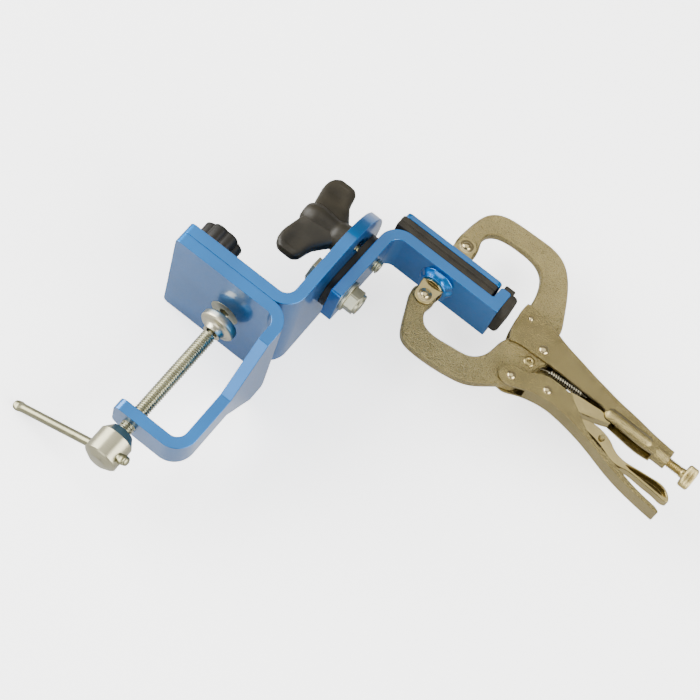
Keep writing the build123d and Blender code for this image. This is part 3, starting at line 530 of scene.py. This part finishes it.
class ClampColours(bpy.types.PropertyGroup):
    """Colours of the clamp's finishes."""
    blue: colour_prop("Blue paint", "Paint on the flat bars", (0.0, 0.120, 0.360))
    zinc: colour_prop("Zinc", "Plating on screws, nuts and pads", (0.42, 0.41, 0.29))
    aluminium: colour_prop("Aluminium", "Turned head of the clamp screw", (0.37, 0.35, 0.24))
    nickel: colour_prop("Nickel", "Plating on the pliers", (0.42, 0.34, 0.150))
    rivet: colour_prop("Rivets", "Polished rivet heads", (0.52, 0.43, 0.23))
    plastic: colour_prop("Plastic", "Knobs", (0.006, 0.005, 0.003))
    rubber: colour_prop("Rubber", "Jaw strips and bumper", (0.014, 0.012, 0.008))
    nylon: colour_prop("Nylon", "Lock nut inserts", (0.55, 0.52, 0.33))
    floor: colour_prop("Floor", "Studio floor", (0.96, 0.96, 0.96))


class ClampSizes(bpy.types.PropertyGroup):
    """Small sizes that the fine shapes use."""
    bar_edge: length_prop("Bar edge", "Rounding along the flat bars' edges", 0.0003)
    forged_edge: length_prop("Forged edge", "Rounding along the jaws' rims", 0.0005)
    sheet_edge: length_prop("Sheet edge", "Rounding along pressed sheet", 0.0003)
    sheet_fold: length_prop("Sheet fold", "Outer radius where the handles' sheet folds", 0.0016)
    pitch: length_prop("Thread pitch", "Pitch of the 5/16 in threads", 0.001411)
    knurl_teeth: IntProperty(name="Knurl teeth", description="Teeth round the adjusting head",
                             default=46, min=12, max=120)
    coil_turns: IntProperty(name="Spring turns", description="Turns of the return spring",
                            default=15, min=4, max=60)


def colours():
    return bpy.context.scene.clamp_colours


def sizes():
    return bpy.context.scene.clamp_sizes


# ---- pieces ----------------------------------------------------------------
class CLAMP_OT_bars(bpy.types.Operator):
    """Painted flat bars and the moving jaw plate, with eased edges"""
    bl_idname = "clamp.bars"
    bl_label = "Painted bars"

    def execute(self, context):
        paint = blue_paint(colours().blue)
        edge = sizes().bar_edge / MM
        for node in ("bench_clamp_frame", "turning_bracket", "tilting_arm", "moving_jaw_plate"):
            settle(eased_copy(node, edge), node, paint, stands_for=[node])
        return {"FINISHED"}


class CLAMP_OT_rubber(bpy.types.Operator):
    """Rubber jaw strips, lip bumper and the friction spacer"""
    bl_idname = "clamp.rubber"
    bl_label = "Rubber and spacer"

    def execute(self, context):
        rubber = sheet_rubber(colours().rubber)
        for node in ("fixed_jaw_strip", "moving_jaw_strip"):
            settle(eased_copy(node, 0.7, 4), node, rubber, stands_for=[node])
        settle(eased_copy("lip_bumper", 1.3, 5), "lip_bumper", rubber, stands_for=["lip_bumper"])
        settle(eased_copy("friction_spacer", 0.3), "friction_spacer",
               moulded_black(colours().plastic, "Friction spacer black"), stands_for=["friction_spacer"])
        return {"FINISHED"}


class CLAMP_OT_fasteners(bpy.types.Operator):
    """Bolts, nuts, washers and their nylon inserts"""
    bl_idname = "clamp.fasteners"
    bl_label = "Fasteners"

    def execute(self, context):
        zinc = zinc_plate(colours().zinc)
        for node in ("swivel_screw", "swivel_washer", "swivel_nut", "tilt_head_washer",
                     "tilt_nut_washer", "tilt_nut", "tilt_bolt"):
            settle(eased_copy(node, 0.22, 2, 18.0), node, zinc, stands_for=[node])
        nylon = plain_plastic(colours().nylon, "Nylon insert", 0.35, 0.3)
        for node in ("swivel_nut_insert", "tilt_nut_insert"):
            settle(eased_copy(node, 0.2, 2), node, nylon, stands_for=[node])
        return {"FINISHED"}


class CLAMP_OT_clamp_screw(bpy.types.Operator):
    """Clamp screw with its real thread, turned head, swivel pad, ball and tommy bar"""
    bl_idname = "clamp.clamp_screw"
    bl_label = "Clamp screw"

    def execute(self, context):
        zinc = zinc_plate(colours().zinc, "Zinc on the clamp screw")
        lo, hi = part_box("clamp_screw")
        mid = centre("clamp_screw")
        length = (hi[1] - lo[1]) / MM
        radius = (hi[0] - lo[0]) / 2 / MM
        pitch = sizes().pitch / MM
        screw = threaded_rod("clamp_screw_thread", (mid[0], lo[1], mid[2]), (0, 1, 0), length, radius,
                             pitch, 8.0, length + pitch)
        settle(screw, "clamp_screw", thread_zinc(shade(colours().zinc, 0.92), "Thread zinc"),
               stands_for=["clamp_screw"])
        alu = turned_aluminium(colours().aluminium)
        settle(eased_copy("screw_head", 0.35), "screw_head", alu, stands_for=["screw_head"])
        pad = turned_aluminium((0.56, 0.52, 0.38, 1.0), "Turned zinc pad")
        self.swivel_pad(pad)
        settle(eased_copy("ball_tip", 0.1), "ball_tip", zinc, stands_for=["ball_tip"])
        self.tommy_bar(zinc_plate((0.23, 0.22, 0.135, 1.0), "Zinc on the tommy bar"))
        return {"FINISHED"}

    def swivel_pad(self, metal):
        """Turned pad: a thick rim, a flat back and a waisted socket whose mouth holds the ball."""
        lo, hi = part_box("swivel_pad")
        mid = centre("swivel_pad")
        tall = (hi[1] - lo[1]) / MM
        rim = (hi[0] - lo[0]) / 2 / MM
        ball = (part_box("ball_tip")[1][0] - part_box("ball_tip")[0][0]) / 2 / MM
        neck = 3.4
        outer = [(tall, 0.3), (tall, rim - 0.8), (tall - 0.8, rim), (neck + 1.4, rim),
                 (neck + 0.5, rim - 0.9),
                 (neck + 0.1, rim - 3.0), (neck - 0.6, 6.0), (1.2, 5.1), (0.0, 5.0)]
        inner = [(0.0, 4.6), (0.5, ball * 0.94), (2.2, ball + 0.1), (5.0, ball * 0.9), (6.5, ball * 0.5),
                 (6.9, 0.2)]
        pad = revolve("turned_swivel_pad",
                      np.vstack([soft_profile(outer, 0.5, 3), soft_profile(inner, 0.5, 3)]),
                      (mid[0], lo[1], mid[2]), (0, 1, 0))
        settle(pad, "swivel_pad", metal, stands_for=["swivel_pad"])

    def tommy_bar(self, zinc):
        """Bar whose round section is squeezed flat near each end: half-widths go from r to (a, b)."""
        body = np.array(JOINTS["bar_slide"]["axis"], float)
        lo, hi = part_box("tommy_bar")
        mid = centre("tommy_bar")
        span = np.linalg.norm(np.array(hi) - np.array(lo))
        length = (abs(hi[0] - lo[0]) - 2.5 * MM) / abs(body[0]) / MM
        start = mid - body * length * MM / 2
        s = np.linspace(0, length, 130)
        a = np.linspace(0, 2 * np.pi, 40, endpoint=False)
        near = np.minimum(s, length - s)
        flat = np.exp(-((near - 3.2) / 1.9) ** 2)
        tip = np.sqrt(np.clip(1 - (1 - np.clip(near / 1.0, 0, 1)) ** 2, 0.0, 1))
        wide = (2.4 + 0.6 * flat) * (0.55 + 0.45 * tip)
        thin = (2.4 - 0.9 * flat) * (0.55 + 0.45 * tip)
        u, v, d = axes_for(body, (0, 1, 0))
        pts = start + MM * (s[:, None, None] * d + (wide[:, None] * np.cos(a))[..., None] * v
                            + (thin[:, None] * np.sin(a))[..., None] * u)
        bar = tube_surface("tommy_bar_swaged", pts)
        if span <= 0:
            raise RuntimeError("the tommy bar has no length")
        settle(bar, "tommy_bar", zinc, stands_for=["tommy_bar"])


class CLAMP_OT_knobs(bpy.types.Operator):
    """Lobed lock knob and wing knob with their threaded studs"""
    bl_idname = "clamp.knobs"
    bl_label = "Knobs and studs"

    def execute(self, context):
        black = moulded_black(colours().plastic)
        zinc = thread_zinc(colours().zinc, "Zinc on the studs")
        self.lobed(black)
        self.wings(moulded_black(shade(colours().plastic, 2.6), "Moulded black wings"))
        pitch = sizes().pitch / MM
        for node, direction in (("swivel_lock_stud", (0, 1, 0)), ("tilt_lock_stud", (1, 0, 0))):
            lo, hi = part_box(node)
            mid = centre(node)
            k = 1 if direction[1] else 0
            length = (hi[k] - lo[k]) / MM
            start = mid - np.array(direction) * length * MM / 2
            rod = threaded_rod(node + "_thread", start, direction, length, (hi[2] - lo[2]) / 2 / MM
                               if k else 3.97, pitch, -pitch, length + pitch)
            settle(rod, node, zinc, stands_for=[node])
        return {"FINISHED"}

    def lobed(self, black):
        """Knob over a turned profile R: with w = |cos(n (a - a0) / 2)| for n lobes, the radius is
        R - k (deep (1 - w)^1.5 + soft (1 - w^2)), where k fades the lobes in with R."""
        lo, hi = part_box("swivel_lock_knob")
        mid = centre("swivel_lock_knob")
        h = (hi[1] - lo[1]) / MM
        prof = soft_profile([(0, 5.6), (0, 7.0), (h - 12.7, 9.2), (h - 12.3, 11.8), (h - 1.0, 11.9),
                             (h - 0.05, 10.2), (h, 6.6), (h - 0.9, 6.2), (h - 0.9, 0.4)], 1.2, 5)
        a = np.linspace(0, 2 * np.pi, 196, endpoint=False)
        lobes, start, deep, soft = 7, 0.35, 1.9, 0.25
        wave = np.abs(np.cos(lobes / 2 * (a - start)))
        depth = np.clip((prof[:, 1] - 8.6) / 2.6, 0, 1)[:, None]
        r = prof[:, 1][:, None] - depth * (deep * (1 - wave[None]) ** 1.5 + soft * (1 - wave[None] ** 2))
        u, v, d = axes_for((0, 1, 0))
        ring = np.cos(a)[:, None] * u + np.sin(a)[:, None] * v
        base = np.array([mid[0], lo[1], mid[2]])
        pts = base + MM * (prof[:, 0][:, None, None] * d + r[..., None] * ring[None])
        knob = tube_surface("lobed_lock_knob", pts)
        settle(knob, "swivel_lock_knob", black, stands_for=["swivel_lock_knob"])

    def wings(self, black):
        """Hub and two wings: each wing's section is a superellipse whose half-sizes follow its span,
        and its face dips by a raised cosine inside the rim."""
        at = np.array(JOINTS["wing_turn"]["pos_m"], float)
        zero = at - np.array([38.4 * MM, 0, 0])
        x, b, z = np.array([1.0, 0, 0]), ALONG, UP
        hub = revolve("wing_hub", soft_profile(
            [(30.5, 0.3), (30.5, 4.6), (33.4, 7.0), (37.5, 8.1), (45.0, 7.7), (50.0, 7.2), (52.5, 8.3),
             (58.0, 8.6), (61.45, 8.2), (61.45, 4.2)], 2.2, 6), zero, x, 72)
        wings = []
        root, reach, crowd, square = 3.0, 26.0, 1.6, 0.55
        at_q = [0, .18, .36, .52, .66, .78, .88, .95, .985, 1.0]
        low_side = [32.8, 31.8, 30.8, 30.0, 29.8, 30.2, 31.4, 33.2, 34.8, 37.0]
        high_side = [56.0, 54.6, 51.4, 48.6, 47.4, 46.8, 46.0, 44.4, 42.6, 39.4]
        for s in (-1.0, 1.0):
            q = 1 - (1 - np.linspace(0, 1, 60)) ** crowd
            dist = root + reach * q
            left, right = np.interp(q, at_q, low_side), np.interp(q, at_q, high_side)
            half = np.interp(q, [0, .3, .6, .85, .96, 1.0], [6.0, 4.4, 3.9, 3.6, 2.6, 0.4])
            a = np.linspace(0, 2 * np.pi, 72, endpoint=False)
            cx, wx = (left + right) / 2, (right - left) / 2
            ca = np.sign(np.cos(a)) * np.abs(np.cos(a)) ** square
            sa = np.sign(np.sin(a)) * np.abs(np.sin(a)) ** square
            dish = 0.9 * (0.5 + 0.5 * np.cos(np.pi * np.clip(np.abs(ca) / 0.8, 0, 1)))[None]
            over = np.clip((q - 0.30) / 0.25, 0, 1) * np.clip((0.96 - q) / 0.14, 0, 1)
            thick = (half[:, None] - dish * over[:, None]) * sa
            pts = (zero + MM * ((cx[:, None] + wx[:, None] * ca)[..., None] * x
                                + (s * dist)[:, None, None] * b + thick[..., None] * z))
            wings.append(tube_surface("wing", pts))
        knob = join("winged_tilt_knob", [hub] + wings)
        settle(knob, "wing_knob", black, stands_for=["wing_knob"])


class CLAMP_OT_pliers(bpy.types.Operator):
    """Forged jaws, pressed handles, link, lever and swivel feet"""
    bl_idname = "clamp.pliers"
    bl_label = "Pliers"

    def execute(self, context):
        c = colours().nickel
        forged = nickel(shade(c, 0.60), "Forged nickel skin", 0.27, 0.0014, 1900.0)
        pressed = nickel(shade(c, 0.72), "Pressed nickel sheet", 0.20, 0.00030, 2000.0)
        for node in ("lower_jaw", "upper_jaw"):
            settle(eased_copy(node, sizes().forged_edge / MM), node, forged, stands_for=[node])
        fold = sizes().sheet_fold / MM
        for node, side in (("upper_handle", 1.0), ("lower_handle", -1.0)):
            piece = eased_copy(node, sizes().sheet_edge / MM, 4, bend=(fold, ALONG * side))
            settle(piece, node, pressed, stands_for=[node])
        bright = nickel(shade(c, 0.85), "Smooth nickel", 0.16, 0.00005, 700.0)
        for node in ("toggle_link", "release_lever", "fixed_swivel_foot", "moving_swivel_foot"):
            settle(eased_copy(node, 0.3), node, bright, stands_for=[node])
        for node in ("lever_pin",):
            settle(eased_copy(node, 0.2), node, forged, stands_for=[node])
        return {"FINISHED"}


class CLAMP_OT_rivets(bpy.types.Operator):
    """Domed rivets and the painted weld beads under the feet"""
    bl_idname = "clamp.rivets"
    bl_label = "Rivets and welds"

    def execute(self, context):
        bright = polished(colours().rivet)
        for node in ("jaw_pivot_rivet", "jaw_spot_rivet", "lower_pivot_rivet", "link_rivet",
                     "fixed_foot_rivet", "moving_foot_rivet"):
            self.rivet(node, bright)
        paint = blue_paint(shade(colours().blue, 1.1), "Blue paint over weld")
        for node, sign in (("fixed_pad_weld", -1.0), ("moving_pad_weld", 1.0)):
            self.bead(node, sign, paint)
        return {"FINISHED"}

    def rivet(self, node, metal):
        """Rivet across the pliers: a soft swell round each end, then a domed head over a shank.

        The head's height falls as the square root of 1 - (r / R) squared, and the
        swell fades as a raised cosine to the edge of the pressed sheet.
        """
        points = np.array([v.co[:] for v in NODES[node].data.vertices])
        level = points @ UP
        half = (level.max() - level.min()) / 2 / MM
        mid = centre(node)
        x = points[:, 0]
        head = (x.max() - x.min()) / 2 / MM
        dome = 0.62 * head
        proud = min(1.6, half - 1.0)
        face = half - proud
        q = np.linspace(0, np.pi / 2, 12)
        top = np.column_stack([face + 0.45 + (proud - 0.45) * np.sin(q)[::-1], dome * np.cos(q)[::-1]])
        r = np.linspace(dome + 0.12, head * 1.02, 9)
        skirt = np.column_stack(
            [face + 0.42 * (0.5 + 0.5 * np.cos(np.pi * (r - dome) / (head - dome + 0.1))), r])
        side = np.vstack([top, skirt, [[face - 0.25, head * 1.02], [face - 0.25, dome]]])
        side[0, 1] = 0.02
        prof = np.vstack([side, (side * [-1, 1])[::-1]])
        pin = revolve(node + "_domed", prof, mid, UP, 56)
        settle(pin, node, metal, stands_for=[node])

    def bead(self, node, sign, paint):
        """Painted disc with a weld collar on it; the collar's radius and height carry slow uneven ripples."""
        x, b = np.array([1.0, 0, 0]), ALONG * sign
        points = np.array([v.co[:] for v in NODES[node].data.vertices])
        level = points @ b
        tall = (level.max() - level.min()) / MM
        mid = centre(node)
        root = mid + b * (level.min() - mid @ b)
        near = points[level < level.min() + 0.1 * MM]
        far = points[level > level.max() - 0.1 * MM]
        wide, disc_r = ((q[:, 0].max() - q[:, 0].min()) / 2 / MM for q in (near, far))
        t = np.linspace(0, 1, 14)
        neck = tall - DISC_T
        collar = np.column_stack([neck * t, wide + 0.3 - (wide + 0.3 - disc_r + 1.6) * t ** 0.7])
        disc = soft_profile([(neck, disc_r - 1.6), (neck, disc_r - 0.1), (tall, disc_r), (tall, 0.4)],
                            0.35, 3)
        prof = np.vstack([collar, disc[1:]])
        a = np.linspace(0, 2 * np.pi, 180, endpoint=False)
        lump = (0.30 * np.sin(5 * a + 1.2 * np.sin(2 * a)) + 0.22 * np.sin(9 * a + 0.7)
                + 0.2 * np.sin(2 * a + 1.0))
        on = np.sin(np.pi * np.clip(prof[:, 0] / neck * 0.9 + 0.1, 0, 1)) ** 0.7
        r = prof[:, 1][:, None] + lump[None] * on[:, None]
        h = prof[:, 0][:, None] + 0.12 * np.sin(7 * a + 0.5)[None] * on[:, None]
        z = np.cross(x, b)
        ring = np.cos(a)[:, None] * x + np.sin(a)[:, None] * z
        pts = root + MM * (h[..., None] * b + r[..., None] * ring[None])
        weld = tube_surface(node + "_bead", pts)
        settle(weld, node, paint, stands_for=[node])


class CLAMP_OT_adjuster(bpy.types.Operator):
    """Adjusting screw thread, knurled head and return spring"""
    bl_idname = "clamp.adjuster"
    bl_label = "Adjuster and spring"

    def execute(self, context):
        metal = nickel(shade(colours().nickel, 0.95), "Nickel on the adjuster", 0.26)
        lo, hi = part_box("adjusting_screw")
        mid = centre("adjusting_screw")
        length = (hi[0] - lo[0]) / MM
        radius = (hi[2] - lo[2]) / 2 / MM
        rod = threaded_rod("adjusting_thread", (lo[0], mid[1], mid[2]), (1, 0, 0), length, radius,
                           1.058, -1.1, length - 3.0, 40)
        settle(rod, "adjusting_screw", metal, stands_for=["adjusting_screw"])
        self.knurled(metal)
        self.spring()
        return {"FINISHED"}

    def knurled(self, metal):
        """Diamond knurl: radius falls by a product of two opposite-handed triangle waves."""
        lo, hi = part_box("knurled_head")
        mid = centre("knurled_head")
        thick = (hi[0] - lo[0]) / MM
        big = (hi[2] - lo[2]) / 2 / MM
        teeth = sizes().knurl_teeth
        prof = soft_profile([(0, 3.2), (0, big - 0.9), (0.9, big), (thick - 0.9, big), (thick, big - 0.9),
                             (thick, 2.6), (thick - 0.35, 2.2), (thick - 0.35, 0.2)], 0.25, 2)
        body = np.array([[h, big] for h in np.linspace(1.1, thick - 1.1, 16)])
        cut = int(np.argmax(prof[:, 0] >= 1.1))
        prof = np.vstack([prof[:cut], body, prof[np.nonzero(prof[:, 0] > thick - 1.0)[0][0]:]])
        a = np.linspace(0, 2 * np.pi, teeth * 8, endpoint=False)[None]
        h = prof[:, 0][:, None]
        w1 = np.abs(((a / (2 * np.pi) * teeth + h * 0.9) % 1) - 0.5) * 2
        w2 = np.abs(((a / (2 * np.pi) * teeth - h * 0.9) % 1) - 0.5) * 2
        on = ((prof[:, 1] > big - 0.25) & (prof[:, 0] > 0.7) & (prof[:, 0] < thick - 0.7))[:, None]
        r = prof[:, 1][:, None] - 0.42 * np.maximum(w1, w2) ** 1.5 * on
        u, v, d = axes_for((1, 0, 0))
        ring = np.cos(a[0])[:, None] * u + np.sin(a[0])[:, None] * v
        base = np.array([lo[0], mid[1], mid[2]])
        pts = base + MM * (h[..., None] * d + r[..., None] * ring[None])
        head = tube_surface("knurled_adjusting_head", pts)
        sharp_by_angle(head, 50.0)
        settle(head, "knurled_head", metal, stands_for=["knurled_head"])

    def spring(self):
        """Coil: a helix of constant radius whose ends run straight to the eyelet and the hook."""
        # Spring wire: the zinc plate at a much darker colour (0.24, 0.22, 0.16).
        dark = zinc_plate((0.24, 0.22, 0.16, 1.0), "Dark spring wire")
        eye = np.array(arm_frame(172.2, 34.4))
        a0 = np.array(arm_frame(183.2, 38.6))
        a1 = np.array(arm_frame(204.0, 40.3))
        axis = a1 - a0
        u, v, _ = axes_for(axis, UP)
        turns = sizes().coil_turns
        t = np.linspace(0, 1, turns * 28)
        ang = 2 * np.pi * turns * t
        grow = np.clip(np.minimum(t, 1 - t) * turns / 0.6, 0.0, 1)
        coil = a0 + t[:, None] * axis + 1.65 * MM * grow[:, None] * (
            np.cos(ang)[:, None] * u + np.sin(ang)[:, None] * v)
        lead = eye + np.linspace(0, 1, 8)[:-1, None] * (a0 - eye)
        tail = a1 + np.linspace(0, 1, 6)[1:, None] * np.array([3.0 * MM, 0, 0])
        jaw = NODES["lower_jaw"].data.vertices
        top = max(np.array(v.co[:]) @ UP for v in jaw)
        seat = eye + UP * (top - eye @ UP)
        ring = revolve("spring_eyelet", soft_profile(
            [(-0.3, 1.1), (-0.3, 3.1), (0.35, 3.1), (0.7, 2.2), (0.7, 1.3), (0.3, 1.05), (-0.3, 1.1)],
            0.25, 3), seat, UP, 56)
        settle(ring, "lower_jaw", nickel(colours().nickel, "Eyelet nickel", 0.20), SLOT_OF["lower_jaw"])
        self.tail_plate()
        wire = swept_round("return_spring_coil", np.vstack([lead, coil, tail]), 0.36, 10)
        settle(wire, "return_spring", dark, stands_for=["return_spring"])

    def tail_plate(self):
        """Thin tail of the lower jaw behind the spring: an outline carried straight through it."""
        edge = np.array([(172.0, 31.0), (178.0, 31.2), (184.0, 32.6), (190.0, 34.2), (195.0, 36.2),
                         (196.5, 38.6), (195.0, 41.0), (186.0, 41.6), (178.0, 40.0), (172.0, 36.0)])
        low, high = -2.75, -2.30
        rings = np.array([[arm_frame(x, b, z) for x, b in edge] for z in (low, high)])
        plate = tube_surface("jaw_tail_plate", rings)
        sharp_by_angle(plate, 30.0)
        settle(plate, "lower_jaw", bpy.data.materials["Pressed nickel sheet"], SLOT_OF["lower_jaw"])


class CLAMP_OT_stage(bpy.types.Operator):
    """Pale floor, soft studio light and the camera"""
    bl_idname = "clamp.stage"
    bl_label = "Stage"

    def execute(self, context):
        scene = context.scene
        w = FLOOR_HALF
        floor = mesh_piece("studio_floor", [(-w, -w, 0), (w, -w, 0), (w, w, 0), (-w, w, 0)],
                           [[0, 1, 2, 3]], False)
        floor.data.materials.append(pale_floor(colours().floor))
        world = bpy.data.worlds.new("Studio")
        world.use_nodes = True
        back = world.node_tree.nodes["Background"]
        back.inputs["Color"].default_value = (1.0, 0.97, 0.92, 1.0)
        back.inputs["Strength"].default_value = WORLD_STRENGTH
        scene.world = world
        aim = np.array([0.0, 0.0, 0.04])
        self.area("Left softbox", (-2.0, -0.3, 1.2), aim, 2.2, 190.0)
        self.area("Right softbox", (2.0, -0.1, 1.2), aim, 2.2, 150.0)
        self.area("Front softbox", (-0.3, -2.2, 0.9), aim, 1.6, 30.0)
        self.area("Top softbox", (-0.3, 1.0, 2.4), aim, 2.2, 24.0)
        self.camera(scene)
        return {"FINISHED"}

    def area(self, name, place, aim, size, power):
        light = bpy.data.lights.new(name, "AREA")
        light.shape = "SQUARE"
        light.size = size
        light.energy = power
        obj = bpy.data.objects.new(name, light)
        d = Vector(aim) - Vector(place)
        obj.matrix_world = Matrix.Translation(place) @ d.to_track_quat("-Z", "Y").to_matrix().to_4x4()
        bpy.context.scene.collection.objects.link(obj)

    def camera(self, scene):
        """Pin-hole camera fixed to the bracket's corner: centre, forward and up in the row frame."""
        centre_at = CORNER + MM * np.array([208.13, -391.07, 933.89 + 76.2])
        ahead = np.array([-0.10437, 0.38756, -0.91592])
        up = np.array([-0.61105, 0.70163, 0.36651])
        ahead /= np.linalg.norm(ahead)
        right = np.cross(ahead, up)
        right /= np.linalg.norm(right)
        up = np.cross(right, ahead)
        cam = bpy.data.cameras.new("Camera")
        cam.sensor_width = SENSOR
        cam.lens = SENSOR * FOCAL / FRAME_SIDE
        cam.clip_end = 20.0
        obj = bpy.data.objects.new("Camera", cam)
        m = Matrix([[right[i], up[i], -ahead[i], centre_at[i]] for i in range(3)] + [[0, 0, 0, 1]])
        obj.matrix_world = m
        scene.collection.objects.link(obj)
        scene.camera = obj


class CLAMP_PT_panel(bpy.types.Panel):
    """Sidebar list of the clamp's pieces"""
    bl_idname = "CLAMP_PT_panel"
    bl_label = "Bench holding clamp"
    bl_space_type = "VIEW_3D"
    bl_region_type = "UI"
    bl_category = "Clamp"

    def draw(self, context):
        layout = self.layout
        for op in OPERATORS:
            layout.operator(op.bl_idname)
        for group in (context.scene.clamp_colours, context.scene.clamp_sizes):
            for key in group.__annotations__:
                layout.prop(group, key)


OPERATORS = (CLAMP_OT_bars, CLAMP_OT_rubber, CLAMP_OT_fasteners, CLAMP_OT_clamp_screw, CLAMP_OT_knobs,
             CLAMP_OT_pliers, CLAMP_OT_rivets, CLAMP_OT_adjuster, CLAMP_OT_stage)
CLASSES = (ClampColours, ClampSizes) + OPERATORS + (CLAMP_PT_panel,)


def register():
    for cls in CLASSES:
        bpy.utils.register_class(cls)
    bpy.types.Scene.clamp_colours = PointerProperty(type=ClampColours)
    bpy.types.Scene.clamp_sizes = PointerProperty(type=ClampSizes)


def unregister():
    del bpy.types.Scene.clamp_sizes
    del bpy.types.Scene.clamp_colours
    for cls in reversed(CLASSES):
        bpy.utils.unregister_class(cls)


def main():
    register()
    for op in OPERATORS:
        getattr(bpy.ops.clamp, op.bl_idname.split(".")[1])()


if __name__ == "__main__":
    main()
